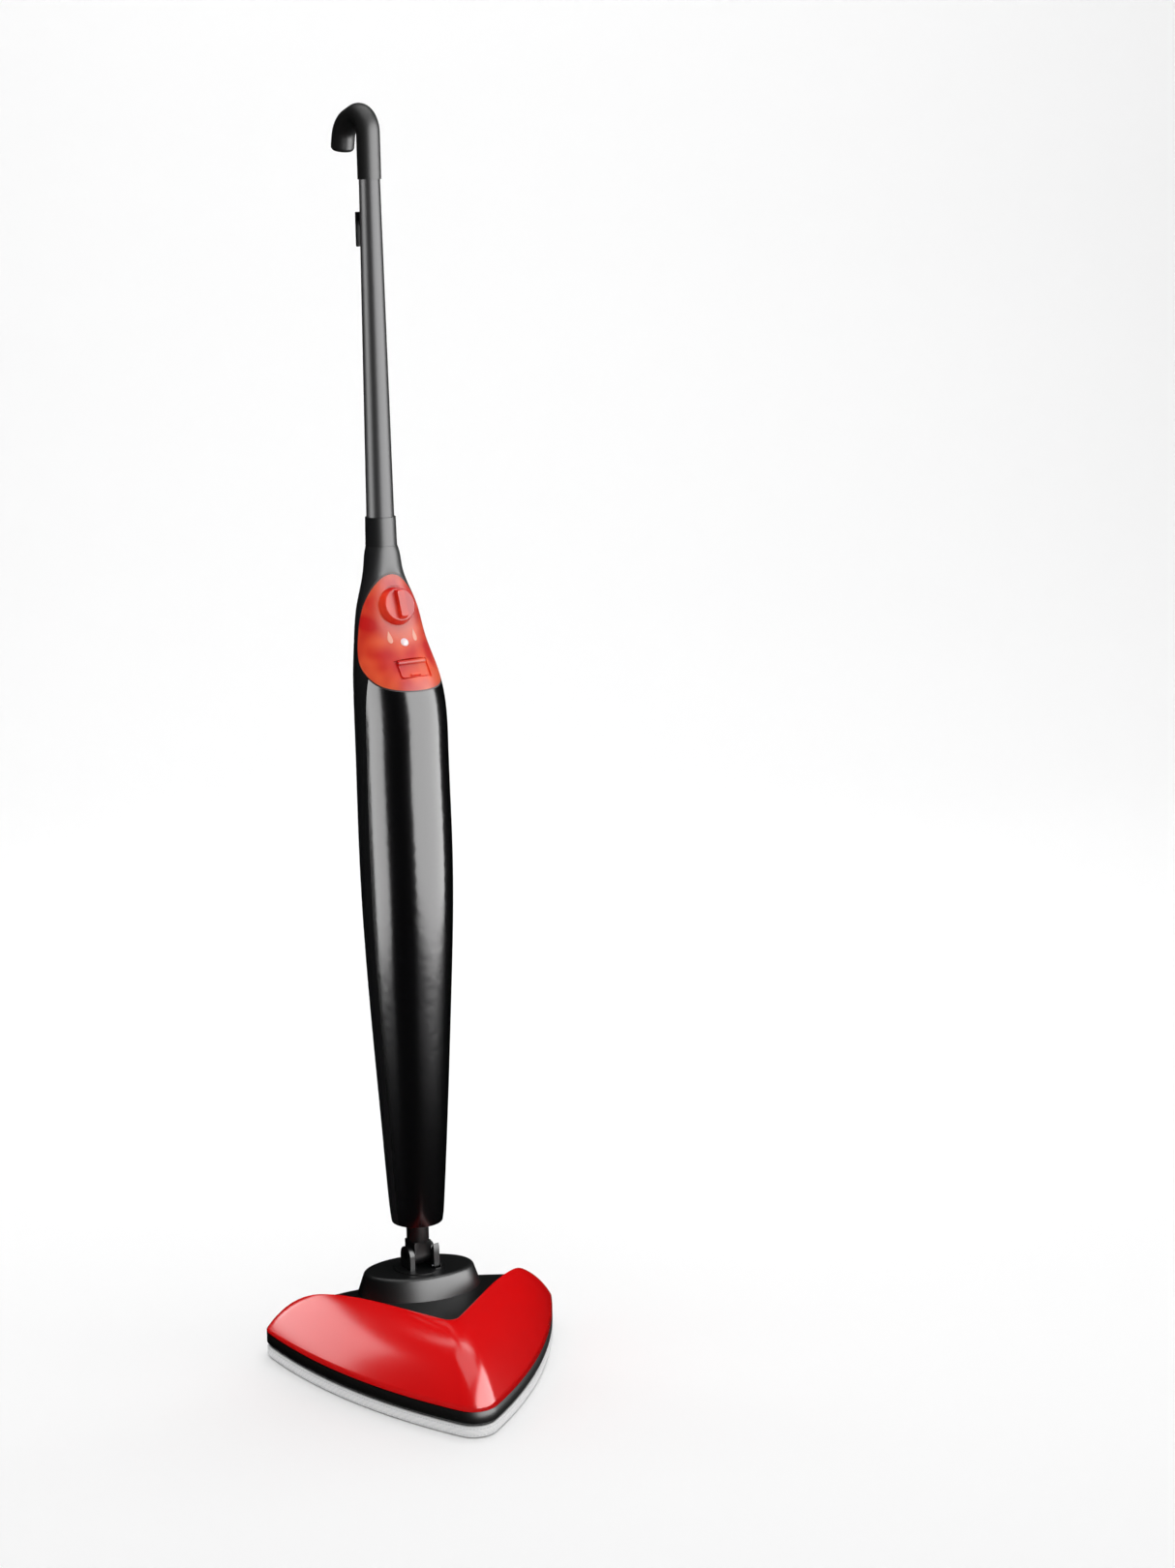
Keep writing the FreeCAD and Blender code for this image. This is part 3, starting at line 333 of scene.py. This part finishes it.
# ---------------------------------------------------------------- hem of the pad
# A folded white tape binds the pad's edge.  It is sewn down with a lock stitch of pale grey
# polyester thread that follows the outline near the top and the bottom of the fold.
def swept_tube(name, path, radius, material, sides=10, flatten=1.0):
    """A closed tube of round or flattened section along a closed path."""
    count = len(path)
    points = []
    for index, point in enumerate(path):
        along = (path[(index + 1) % count] - path[index - 1]).normalized()
        outward = along.cross(Vector((0, 0, 1)))
        for side in range(sides):
            angle = 2 * math.pi * side / sides
            points.append(point + outward * (math.cos(angle) * radius)
                          + Vector((0, 0, math.sin(angle) * radius * flatten)))
    faces = []
    for row in range(count):
        a, b = row * sides, (row + 1) % count * sides
        faces += [(a + i, b + i, b + (i + 1) % sides, a + (i + 1) % sides) for i in range(sides)]
    piece = mesh_piece(name, points, faces, material)
    face_outwards(piece)
    return piece


def face_outwards(piece, weld=0.0):
    shape = bmesh.new()
    shape.from_mesh(piece.data)
    if weld:
        bmesh.ops.remove_doubles(shape, verts=shape.verts, dist=weld)
    bmesh.ops.recalc_face_normals(shape, faces=shape.faces)
    shape.to_mesh(piece.data)
    shape.free()


def bound_tape():
    """Woven polyester tape: white, slightly shiny, with its weave across the fold."""
    material, tree, shader = new_finish("polyester_tape", {"Roughness": 0.75, "Sheen Weight": 0.2})
    coords = add_node(tree, "ShaderNodeTexCoord")
    weave = add_node(tree, "ShaderNodeTexWave", {"Scale": 1 / (1.2 * MM) / 6.28, "Distortion": 1.5,
                                                 "bands_direction": "DIAGONAL"},
                     {"Vector": coords.outputs["Object"]})
    ramp = add_node(tree, "ShaderNodeValToRGB", None, {"Fac": weave.outputs["Fac"]})
    ramp.color_ramp.elements[0].color = linear("ECEDED")
    ramp.color_ramp.elements[1].color = linear("F4F4F4")
    bump = add_node(tree, "ShaderNodeBump", {"Strength": 0.4, "Distance": 0.25 * MM},
                    {"Height": weave.outputs["Fac"]})
    tree.links.new(ramp.outputs["Color"], shader.inputs["Base Color"])
    tree.links.new(bump.outputs["Normal"], shader.inputs["Normal"])
    return material


def stitch_tree():
    """Geometry nodes: short lengths of thread laid end to end along an edge loop."""
    tree = bpy.data.node_groups.new("lock_stitch", "GeometryNodeTree")
    tree.interface.new_socket("Geometry", in_out="INPUT", socket_type="NodeSocketGeometry")
    for name in ("Pitch", "Stitch", "Thread"):
        tree.interface.new_socket(name, in_out="INPUT", socket_type="NodeSocketFloat")
    tree.interface.new_socket("Material", in_out="INPUT", socket_type="NodeSocketMaterial")
    tree.interface.new_socket("Geometry", in_out="OUTPUT", socket_type="NodeSocketGeometry")
    given = add_node(tree, "NodeGroupInput").outputs
    path = add_node(tree, "GeometryNodeMeshToCurve", None, {"Mesh": given["Geometry"]})
    marks = add_node(tree, "GeometryNodeResampleCurve", {"mode": "LENGTH"},
                     {"Curve": path.outputs["Curve"], "Length": given["Pitch"]})
    tangent = add_node(tree, "GeometryNodeInputTangent")
    turned = add_node(tree, "FunctionNodeAlignRotationToVector", {"axis": "Z"},
                      {"Vector": tangent.outputs["Tangent"]})
    thread = add_node(tree, "GeometryNodeMeshUVSphere", {"Segments": 6, "Rings": 4, "Radius": 1.0})
    size = add_node(tree, "ShaderNodeCombineXYZ", None,
                    {"X": given["Thread"], "Y": given["Thread"], "Z": given["Stitch"]})
    laid = add_node(tree, "GeometryNodeInstanceOnPoints", None,
                    {"Points": marks.outputs["Curve"], "Instance": thread.outputs["Mesh"],
                     "Rotation": turned.outputs["Rotation"], "Scale": size.outputs["Vector"]})
    real = add_node(tree, "GeometryNodeRealizeInstances", None, {"Geometry": laid.outputs["Instances"]})
    dressed = add_node(tree, "GeometryNodeSetMaterial", None,
                       {"Geometry": real.outputs["Geometry"], "Material": given["Material"]})
    add_node(tree, "NodeGroupOutput", None, {"Geometry": dressed.outputs["Geometry"]})
    return tree


def made_by(tree, piece, **values):
    """Runs a geometry tree on a piece and keeps the plain mesh that it gives."""
    modifier = piece.modifiers.new("build", "NODES")
    modifier.node_group = tree
    for item in tree.interface.items_tree:
        if item.item_type == "SOCKET" and item.in_out == "INPUT" and item.name in values:
            modifier[item.identifier] = values[item.name]
    return bake(piece)


tape = bound_tape()
hem_middle = pad_top / 2 - 0.4
hem_half_width, hem_stretch = 2.0, 2.8
hem = swept_tube("pad_hem", outline_ring(-hem_half_width - 0.2, hem_middle), hem_half_width * MM, tape,
                 12, hem_stretch)
stitch_pitch, stitch_half_length, thread_radius = 3.2, 1.25, 0.42
stitch_inset, stitch_spread = 0.55, 3.0
thread_grey, thread_tree, thread_shader = new_finish("polyester_thread", {"Roughness": 0.6})
thread_coords = add_node(thread_tree, "ShaderNodeTexCoord")
thread_tone = add_node(thread_tree, "ShaderNodeTexNoise", {"Scale": 1 / (4 * MM)},
                       {"Vector": thread_coords.outputs["Object"]})
thread_ramp = add_node(thread_tree, "ShaderNodeValToRGB", None, {"Fac": thread_tone.outputs["Fac"]})
thread_ramp.color_ramp.elements[0].color = linear("CFD1D3")
thread_ramp.color_ramp.elements[1].color = linear("E4E5E6")
thread_tree.links.new(thread_ramp.outputs["Color"], thread_shader.inputs["Base Color"])
stitching = stitch_tree()
hem_parts = [hem]
for label, side in (("low", -1), ("high", 1)):
    ring = outline_ring(-stitch_inset, hem_middle + side * stitch_spread)
    count = len(ring)
    seam = mesh_piece("hem_stitch_" + label, ring, [], thread_grey)
    seam.data.clear_geometry()
    seam.data.from_pydata([tuple(p) for p in ring], [(i, (i + 1) % count) for i in range(count)], [])
    made_by(stitching, seam, Pitch=stitch_pitch * MM, Stitch=stitch_half_length * MM,
            Thread=thread_radius * MM, Material=thread_grey)
    hem_parts.append(seam)
for part in hem_parts:
    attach(part, "floor_head")

# ---------------------------------------------------------------- base frame's rim
# The base frame is moulded in black glass-filled nylon.  Its rim shows as a band between
# the pad and the red shell, with a shadow line above it.
def moulded(name, code, roughness, pitch=0.9, depth=0.03, spread=0.08, **sockets):
    """Moulded plastic: an even colour over the fine grain of a spark-eroded mould."""
    settings = {"Roughness": roughness, "IOR": 1.49}
    settings.update({key.replace("_", " "): value for key, value in sockets.items()})
    material, tree, shader = new_finish(name, settings)
    coords = add_node(tree, "ShaderNodeTexCoord")
    grain = add_node(tree, "ShaderNodeTexNoise", {"Scale": 1 / (pitch * MM), "Detail": 3.0},
                     {"Vector": coords.outputs["Object"]})
    bump = add_node(tree, "ShaderNodeBump", {"Strength": 0.4, "Distance": depth * MM},
                    {"Height": grain.outputs["Fac"]})
    cloud = add_node(tree, "ShaderNodeTexNoise", {"Scale": 1 / (40 * MM), "Detail": 2.0},
                     {"Vector": coords.outputs["Object"]})
    ramp = add_node(tree, "ShaderNodeValToRGB", None, {"Fac": cloud.outputs["Fac"]})
    base = linear(code)
    ramp.color_ramp.elements[0].color = (*[v * (1 - spread) for v in base[:3]], 1.0)
    ramp.color_ramp.elements[1].color = (*[min(v * (1 + spread), 1.0) for v in base[:3]], 1.0)
    tree.links.new(ramp.outputs["Color"], shader.inputs["Base Color"])
    tree.links.new(bump.outputs["Normal"], shader.inputs["Normal"])
    return material


rim_nylon = moulded("nylon_dark_grey", "0F0E0D", 0.45, depth=0.05)
rim_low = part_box("base_frame")[0][2] / MM
rim_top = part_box("base_frame")[1][2] / MM
rim_wall, rim_floor, rim_ledge = 2.6, 2.6, 7.2
rim_rows = [(-0.8, rim_low), (0.0, rim_low + 0.8), (0.0, rim_top - 1.6), (-0.7, rim_top - 1.0),
            (-0.9, rim_top - 0.2), (-1.2, rim_top), (-rim_wall, rim_top), (-rim_wall, rim_low + rim_floor),
            (-rim_ledge, rim_low + rim_floor), (-rim_ledge, rim_low)]
rim_points = [p for growth, z in rim_rows for p in outline_ring(growth, z)]
rim = mesh_piece("base_rim", rim_points, ring_faces(len(head_outline()), len(rim_rows), True), rim_nylon)
face_outwards(rim)
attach(rim, "floor_head")
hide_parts("base_frame")

# ---------------------------------------------------------------- red shell
# The shell is moulded in red ABS to a mirror gloss.  Two arched arms meet in a ridge at
# the front corner; their inner edges are rounded and drop to the black deck.
dome_centre = Vector((0.0, -61.0))
dome_first, dome_last, dome_shrink = math.radians(33.0), math.radians(88.0), 0.56
shell_rise, wall_drawn = 53.0, 2.2
deck_tip, deck_half, deck_rounding = -127.0, math.radians(36.2), 9.0


def reach_along(points, origin, angle):
    """Distance from origin to the far crossing of a line of points along an angle."""
    heading = Vector((math.cos(angle), math.sin(angle)))
    best = 0.0
    for start, end in zip(points, points[1:]):
        side = end - start
        cross = heading.x * side.y - heading.y * side.x
        if abs(cross) < 1e-9:
            continue
        gap = start - origin
        along = (gap.x * side.y - gap.y * side.x) / cross
        share = (gap.x * heading.y - gap.y * heading.x) / cross
        if along > 0 and -1e-6 <= share <= 1 + 1e-6:
            best = max(best, along)
    return best


def dome_height(share, rise):
    """Height of the dome over the rim where its outline has shrunk to a share."""
    spread = math.cos(dome_first) - math.cos(dome_last)
    cosine = math.cos(dome_first) - (1.0 - share) / dome_shrink * spread
    angle = math.acos(min(max(cosine, math.cos(dome_last)), math.cos(dome_first)))
    return rise * (math.sin(angle) - math.sin(dome_first)) / (math.sin(dome_last) - math.sin(dome_first))


def deck_edge(inset=0.0, reach=360.0, steps=12):
    """The V between the arms, from left to right, drawn inwards by inset."""
    radius = deck_rounding - inset
    centre = Vector((0.0, deck_tip + deck_rounding / math.sin(deck_half)))
    line = [centre + Vector((-math.cos(deck_half) * radius, -math.sin(deck_half) * radius))
            + Vector((-math.sin(deck_half), math.cos(deck_half))) * reach]
    for step in range(steps + 1):
        angle = math.pi + deck_half + (math.pi - 2 * deck_half) * step / steps
        line.append(centre + Vector((math.cos(angle), math.sin(angle))) * radius)
    line.append(Vector((-line[0].x, line[0].y)))
    return line


def gloss_abs(name, code, roughness):
    """Gloss ABS: strong even pigment, a mirror skin and the faint ripple of moulded walls."""
    material, tree, shader = new_finish(name, {"Roughness": roughness, "IOR": 1.48})
    coords = add_node(tree, "ShaderNodeTexCoord")
    ripple = add_node(tree, "ShaderNodeTexNoise", {"Scale": 1 / (30 * MM), "Detail": 1.0},
                      {"Vector": coords.outputs["Object"]})
    bump = add_node(tree, "ShaderNodeBump", {"Strength": 0.12, "Distance": 0.3 * MM},
                    {"Height": ripple.outputs["Fac"]})
    ramp = add_node(tree, "ShaderNodeValToRGB", None, {"Fac": ripple.outputs["Fac"]})
    base = linear(code)
    ramp.color_ramp.elements[0].color = (*[v * 0.95 for v in base[:3]], 1.0)
    ramp.color_ramp.elements[1].color = base
    tree.links.new(ramp.outputs["Color"], shader.inputs["Base Color"])
    tree.links.new(bump.outputs["Normal"], shader.inputs["Normal"])
    return material


red_abs = gloss_abs("red_gloss_abs", "E00205", 0.2)
closed_outline = head_outline() + head_outline()[:1]
edge_line = deck_edge()
arm_end_width = 0.8                       # the arm's width where it runs out at the back
angle_step = 0.25
last_angle = -math.pi / 2
for count in range(int(180 / angle_step) + 1):
    angle = math.radians(angle_step * count - 90)
    inner = reach_along(edge_line, dome_centre, angle)
    if 0 < inner < reach_along(closed_outline, dome_centre, angle) - arm_end_width:
        last_angle = angle
shell_columns, shell_rows = 320, 26
lip_radius, lip_share = 2.4, 0.3          # rounding of the inner edge, less where an arm is thin
lip_turns = (30, 60, 90)
inner_wall = 16.0
shell_points = []
for column in range(shell_columns + 1):
    angle = -math.pi / 2 + (last_angle + math.pi / 2) * (2 * column / shell_columns - 1)
    heading = Vector((math.cos(angle), math.sin(angle)))
    outer = reach_along(closed_outline, dome_centre, angle)
    inner = reach_along(edge_line, dome_centre, angle)
    lip = min(lip_radius, (outer - inner) * lip_share)
    for row in range(shell_rows + 1):
        reach = outer + (inner + lip - outer) * (row / shell_rows)
        spot = dome_centre + heading * reach
        shell_points.append(on_head(spot.x, spot.y, rim_top + dome_height(reach / outer, shell_rise)))
    crest = rim_top + dome_height((inner + lip) / outer, shell_rise)
    for turn in lip_turns:
        drop = lip * (1 - math.cos(math.radians(turn)))
        spot = dome_centre + heading * (inner + lip - lip * math.sin(math.radians(turn)))
        shell_points.append(on_head(spot.x, spot.y, crest - drop))
    spot = dome_centre + heading * inner
    shell_points.append(on_head(spot.x, spot.y, max(crest - lip - inner_wall, rim_top + 0.2)))
depth = shell_rows + 1 + len(lip_turns) + 1
shell_faces = [(c * depth + r, (c + 1) * depth + r, (c + 1) * depth + r + 1, c * depth + r + 1)
               for c in range(shell_columns) for r in range(depth - 1)]
shell = mesh_piece("shell_red", shell_points, shell_faces, red_abs)
face_outwards(shell, 0.02 * MM)
if shell.data.polygons[0].normal.z < 0:   # an open sheet: its top must face up before it gets a wall
    shell.data.flip_normals()
thick = shell.modifiers.new("wall", "SOLIDIFY")
thick.thickness = wall_drawn * MM
thick.offset = -1.0
thick.use_even_offset = False
bake(shell)
shell.data.shade_smooth()
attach(shell, "floor_head")
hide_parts("head_shell")
low_pieces.objects.link(shell)


# ---------------------------------------------------------------- black deck and neck
# Deck, turret, knuckle and park latch are satin black polypropylene with a fine grain.
# The deck's oval boss carries the turret, on which the neck leans back.
def fair_copy(node, name, material, crease=32.0, weld=0.004):
    """A welded copy of a moulded piece, smooth where it curves and sharp at its edges."""
    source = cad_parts[node]
    mesh = source.data.copy()
    mesh.name = name
    mesh.materials.clear()
    mesh.materials.append(material)
    piece = bpy.data.objects.new(name, mesh)
    bpy.context.collection.objects.link(piece)
    shape = bmesh.new()
    shape.from_mesh(mesh)
    bmesh.ops.remove_doubles(shape, verts=shape.verts, dist=weld * MM)
    bmesh.ops.dissolve_degenerate(shape, edges=shape.edges, dist=0.001 * MM)
    for face in shape.faces:
        face.smooth = True
        face.material_index = 0
    for edge in shape.edges:
        faces = edge.link_faces
        if len(faces) == 2:
            edge.smooth = faces[0].normal.angle(faces[1].normal, 0.0) < math.radians(crease)
        else:
            edge.smooth = False
    shape.to_mesh(mesh)
    shape.free()
    return piece


def fit(piece, body, node):
    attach(piece, body)
    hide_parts(node)
    return piece


black_pp = moulded("black_satin_pp", "0C0D0E", 0.36, depth=0.04)
fit(fair_copy("head_deck", "deck", black_pp), "floor_head", "head_deck")
fit(fair_copy("swivel_turret", "turret", black_pp), "turret", "swivel_turret")
fit(fair_copy("park_latch", "latch", black_pp), "latch", "park_latch")
fit(fair_copy("neck_stem", "neck", black_pp), "handle", "neck_stem")

# ---------------------------------------------------------------- casing
# Two ABS half shells: the front one polished to a gloss black, the rear one satin.  They
# meet in a fine upright joint on each side and are screwed together from the back.
casing_gloss = gloss_abs("black_gloss_abs", "08080A", 0.19)
casing_satin = moulded("black_satin_abs", "17181A", 0.42, depth=0.03)
casing_front = fair_copy("front_casing", "casing_front", casing_gloss)
fit(casing_front, "handle", "front_casing")
tall_pieces.objects.link(casing_front)
fit(fair_copy("rear_casing", "casing_rear", casing_satin), "handle", "rear_casing")

# ---------------------------------------------------------------- control panel
# The panel, the filler flap and the dial are moulded in clear red polycarbonate over a
# white carrier; their pale salmon patches are painted glow over the deep red.  A dark soft seal lies round
# the panel.
def red_polycarbonate(name, low, high, roughness):
    """Tinted polycarbonate: light runs about inside it, so its shadows stay red.  Its pale salmon patches
    are painted glow, mixed at random into the deep red.
    """
    material, tree, shader = new_finish(name, {
        "Roughness": roughness, "IOR": 1.36, "Subsurface Weight": 0.35, "Subsurface Scale": 6 * MM,
        "Subsurface Radius": (1.0, 0.12, 0.06)})
    coords = add_node(tree, "ShaderNodeTexCoord")
    cloud = add_node(tree, "ShaderNodeTexNoise", {"Scale": 1 / (26 * MM), "Detail": 1.0},
                     {"Vector": coords.outputs["Object"]})
    # The ramp's pale end is painted glow, laid in random patches over the deep red.
    ramp = add_node(tree, "ShaderNodeValToRGB", None, {"Fac": cloud.outputs["Fac"]})
    ramp.color_ramp.elements[0].color = linear(low)
    ramp.color_ramp.elements[1].color = linear(high)
    ramp.color_ramp.elements[0].position = 0.34
    ramp.color_ramp.elements[1].position = 0.62
    ripple = add_node(tree, "ShaderNodeBump", {"Strength": 0.1, "Distance": 0.2 * MM},
                      {"Height": cloud.outputs["Fac"]})
    tree.links.new(ramp.outputs["Color"], shader.inputs["Base Color"])
    tree.links.new(ripple.outputs["Normal"], shader.inputs["Normal"])
    return material


# Each red runs from a deep red to a paler painted glow.
panel_red_painted_glow = red_polycarbonate("red_polycarbonate", "DA0904", "FF5E34", 0.42)
dial_red_painted_glow = red_polycarbonate("red_polycarbonate_dial", "CC0603", "EE3C1E", 0.36)
seal_tpe = moulded("dark_seal_tpe", "2A1512", 0.6)
panel = fair_copy("control_panel", "panel", panel_red_painted_glow)
fit(panel, "handle", "control_panel")
fit(fair_copy("panel_seal", "seal", seal_tpe), "handle", "panel_seal")
fit(fair_copy("filler_flap", "flap_door", panel_red_painted_glow), "flap", "filler_flap")
fit(fair_copy("steam_knob", "dial", dial_red_painted_glow), "knob", "steam_knob")

# ---------------------------------------------------------------- droplet marks
# Two plain droplets are pad printed on the panel in pale ink, one on each side of the
# indicator.  They show where steam comes on and follow the panel's curve.
def droplet(name, x, z, width, height, ink, rings=5, steps=32):
    """A droplet with its tip up, laid on the panel along the front-to-back direction."""
    inward = Vector((0.0, 1.0, 0.0))
    outside = inward * -0.1
    centre = Vector((x, 0.0, z))
    points = []
    for ring in range(1, rings + 1):
        for step in range(steps):
            angle = 2 * math.pi * step / steps
            reach = Vector((math.sin(angle) * math.sin(angle / 2) ** 1.5 * width / 2, 0.0,
                            math.cos(angle) * height / 2))
            points.append(centre + reach * (ring / rings))
    points.append(centre)
    laid = []
    for lift in (ink_top, ink_under):
        for point in points:
            spot, normal = panel_surface.ray_cast(point * MM + outside, inward)[:2]
            laid.append(spot + normal * lift * MM)
    faces = []
    under = len(points)
    for i in range(steps):
        j = (i + 1) % steps
        for base in (0, under):
            faces.append((base + under - 1, base + i, base + j))
            for ring in range(rings - 1):
                a, b = base + ring * steps, base + (ring + 1) * steps
                faces.append((a + i, b + i, b + j, a + j))
        rim_row = (rings - 1) * steps
        faces.append((rim_row + i, rim_row + j, under + rim_row + j, under + rim_row + i))
    mark = mesh_piece(name, laid, faces, ink)
    face_outwards(mark)
    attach(mark, "handle")


panel_surface = BVHTree.FromPolygons([v.co for v in panel.data.vertices],
                                     [list(p.vertices) for p in panel.data.polygons])
pale_ink = moulded("pad_printed_ink", "FFA284", 0.5, depth=0.02)
ink_top, ink_under = 0.12, -0.1
mark_offset, mark_height = 13.0, 700.0
for label, side in (("left", -1), ("right", 1)):
    droplet("droplet_" + label, side * mark_offset, mark_height, 6.5, 11.0, pale_ink)

# ---------------------------------------------------------------- pole, collar and crook
# The pole is tapered aluminium tube, powder coated black.  The crook over its top is
# soft-touch TPE with a fine matt grain, and the collar below is satin ABS.
pole_coat = moulded("black_powder_coat", "131216", 0.42, pitch=1.2, depth=0.03)
grip_tpe = moulded("soft_touch_tpe", "161616", 0.46, pitch=0.8, depth=0.05)
pole = fair_copy("pole_tube", "pole", pole_coat)
fit(pole, "handle", "pole_tube")
tall_pieces.objects.link(pole)
fit(fair_copy("collar", "pole_collar", casing_satin), "handle", "collar")
fit(fair_copy("crook_handle", "crook", grip_tpe), "handle", "crook_handle")
fit(fair_copy("crook_end_cap", "crook_cap", grip_tpe), "handle", "crook_end_cap")
high_hook = fair_copy("upper_cord_hook", "cord_hook_high", black_pp)
fit(high_hook, "cord_hook", "upper_cord_hook")
fit(fair_copy("lower_cord_hook", "cord_hook_low", black_pp), "handle", "lower_cord_hook")
fit(fair_copy("cord_gland", "gland", seal_tpe), "handle", "cord_gland")

# ---------------------------------------------------------------- working parts inside
# Hook tapes, steam plate, boiler, pump, tank and the electrical parts sit inside.  They
# keep their shapes and take the finish that each is made in.
def brushed(name, code, roughness, along):
    """Metal: bright, with fine parallel marks 0.6 mm apart from brushing or turning."""
    material, tree, shader = new_finish(name, {"Metallic": 1.0, "Roughness": roughness})
    coords = add_node(tree, "ShaderNodeTexCoord")
    stretch = add_node(tree, "ShaderNodeMapping", {"Scale": along}, {"Vector": coords.outputs["Object"]})
    marks = add_node(tree, "ShaderNodeTexNoise", {"Scale": 1 / (0.6 * MM), "Detail": 2.0},
                     {"Vector": stretch.outputs["Vector"]})
    ramp = add_node(tree, "ShaderNodeValToRGB", None, {"Fac": marks.outputs["Fac"]})
    base = linear(code)
    ramp.color_ramp.elements[0].color = (*[v * 0.82 for v in base[:3]], 1.0)
    ramp.color_ramp.elements[1].color = base
    bump = add_node(tree, "ShaderNodeBump", {"Strength": 0.3, "Distance": 0.03 * MM},
                    {"Height": marks.outputs["Fac"]})
    tree.links.new(ramp.outputs["Color"], shader.inputs["Base Color"])
    tree.links.new(bump.outputs["Normal"], shader.inputs["Normal"])
    return material


steel = brushed("zinc_plated_steel", "B9BCC0", 0.32, (1, 1, 0.1))
black_steel = brushed("black_oxide_steel", "2A2A2C", 0.4, (1, 1, 0.1))
aluminium = brushed("cast_aluminium", "C4C6C8", 0.45, (1, 1, 0.1))
hook_tape = moulded("nylon_hook_tape", "3A3B3D", 0.85, pitch=1.6, depth=0.6, spread=0.2)
steam_nylon = moulded("nylon_steam_plate", "2A2B2B", 0.5, depth=0.06)
white_acetal = moulded("white_acetal", "E8E8E4", 0.35)
grey_pps = moulded("grey_pps", "6E7072", 0.45)
tank_clear = moulded("frosted_polypropylene", "DDE2E4", 0.3, Transmission_Weight=0.4)
silicone = moulded("clear_silicone", "D8D4CC", 0.4, Subsurface_Weight=0.2, Subsurface_Scale=0.002)
rubber = moulded("black_rubber", "1A1A1A", 0.7, depth=0.05)
felt = moulded("glass_felt", "C9C2B2", 0.95, pitch=1.4, depth=0.6, spread=0.12)
laminate = moulded("green_board_laminate", "1F5A38", 0.35, pitch=3.0, depth=0.02, spread=0.25)
pvc = moulded("red_pvc_sleeve", "A3221B", 0.45, spread=0.15)
inner_finishes = {
    hook_tape: ["hook_strips"], steam_nylon: ["steam_plate"], white_acetal: ["swivel_bush"],
    grey_pps: ["steam_manifold", "steam_regulator", "pump", "regulator_shaft"],
    steel: ["foot_screws", "turret_clip", "flap_pin", "pump_bracket", "thermostat", "thermal_fuse"],
    black_steel: ["pitch_pin", "latch_pin", "hook_screw", "casing_screws"],
    aluminium: ["boiler"], felt: ["boiler_jacket"], laminate: ["control_board"], pvc: ["wiring"],
    silicone: ["suction_tube", "feed_tube", "steam_tube", "filler_gasket"], rubber: ["pump_mounts"],
    tank_clear: ["water_tank"],
}
for finish, names in inner_finishes.items():
    for name in names:
        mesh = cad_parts[name].data
        if mesh.materials:
            for index in range(len(mesh.materials)):
                mesh.materials[index] = finish
        else:
            mesh.materials.append(finish)

# ---------------------------------------------------------------- indicator
# A small domed lens of frosted acrylic with a faint painted glow; the lamp behind it gives no light.
def frosted_acrylic(name, code, painted_glow):
    """Acrylic with a satin-etched face: pale and soft-edged, with a faint painted glow."""
    # The emission is a painted glow: nothing lights the lens from behind.
    material, tree, shader = new_finish(name, {"Roughness": 0.25, "IOR": 1.49, "Subsurface Weight": 0.3,
                                               "Subsurface Scale": 3 * MM, "Emission Strength": painted_glow})
    coords = add_node(tree, "ShaderNodeTexCoord")
    frost = add_node(tree, "ShaderNodeTexNoise", {"Scale": 1 / (1.5 * MM), "Detail": 3.0},
                     {"Vector": coords.outputs["Object"]})
    ramp = add_node(tree, "ShaderNodeValToRGB", None, {"Fac": frost.outputs["Fac"]})
    ramp.color_ramp.elements[0].color = linear(code)
    ramp.color_ramp.elements[1].color = linear("FFFFFF")
    shader.inputs["Emission Color"].default_value = linear(code)
    tree.links.new(ramp.outputs["Color"], shader.inputs["Base Color"])
    return material


lens_painted_glow = frosted_acrylic("frosted_acrylic", "F6D8DC", 0.12)
fit(fair_copy("indicator_lens", "lens", lens_painted_glow), "handle", "indicator_lens")
lamp_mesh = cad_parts["indicator_led"].data
lamp_mesh.materials.clear()
lamp_mesh.materials.append(frosted_acrylic("lamp_epoxy", "F2E6E6", 0.0))
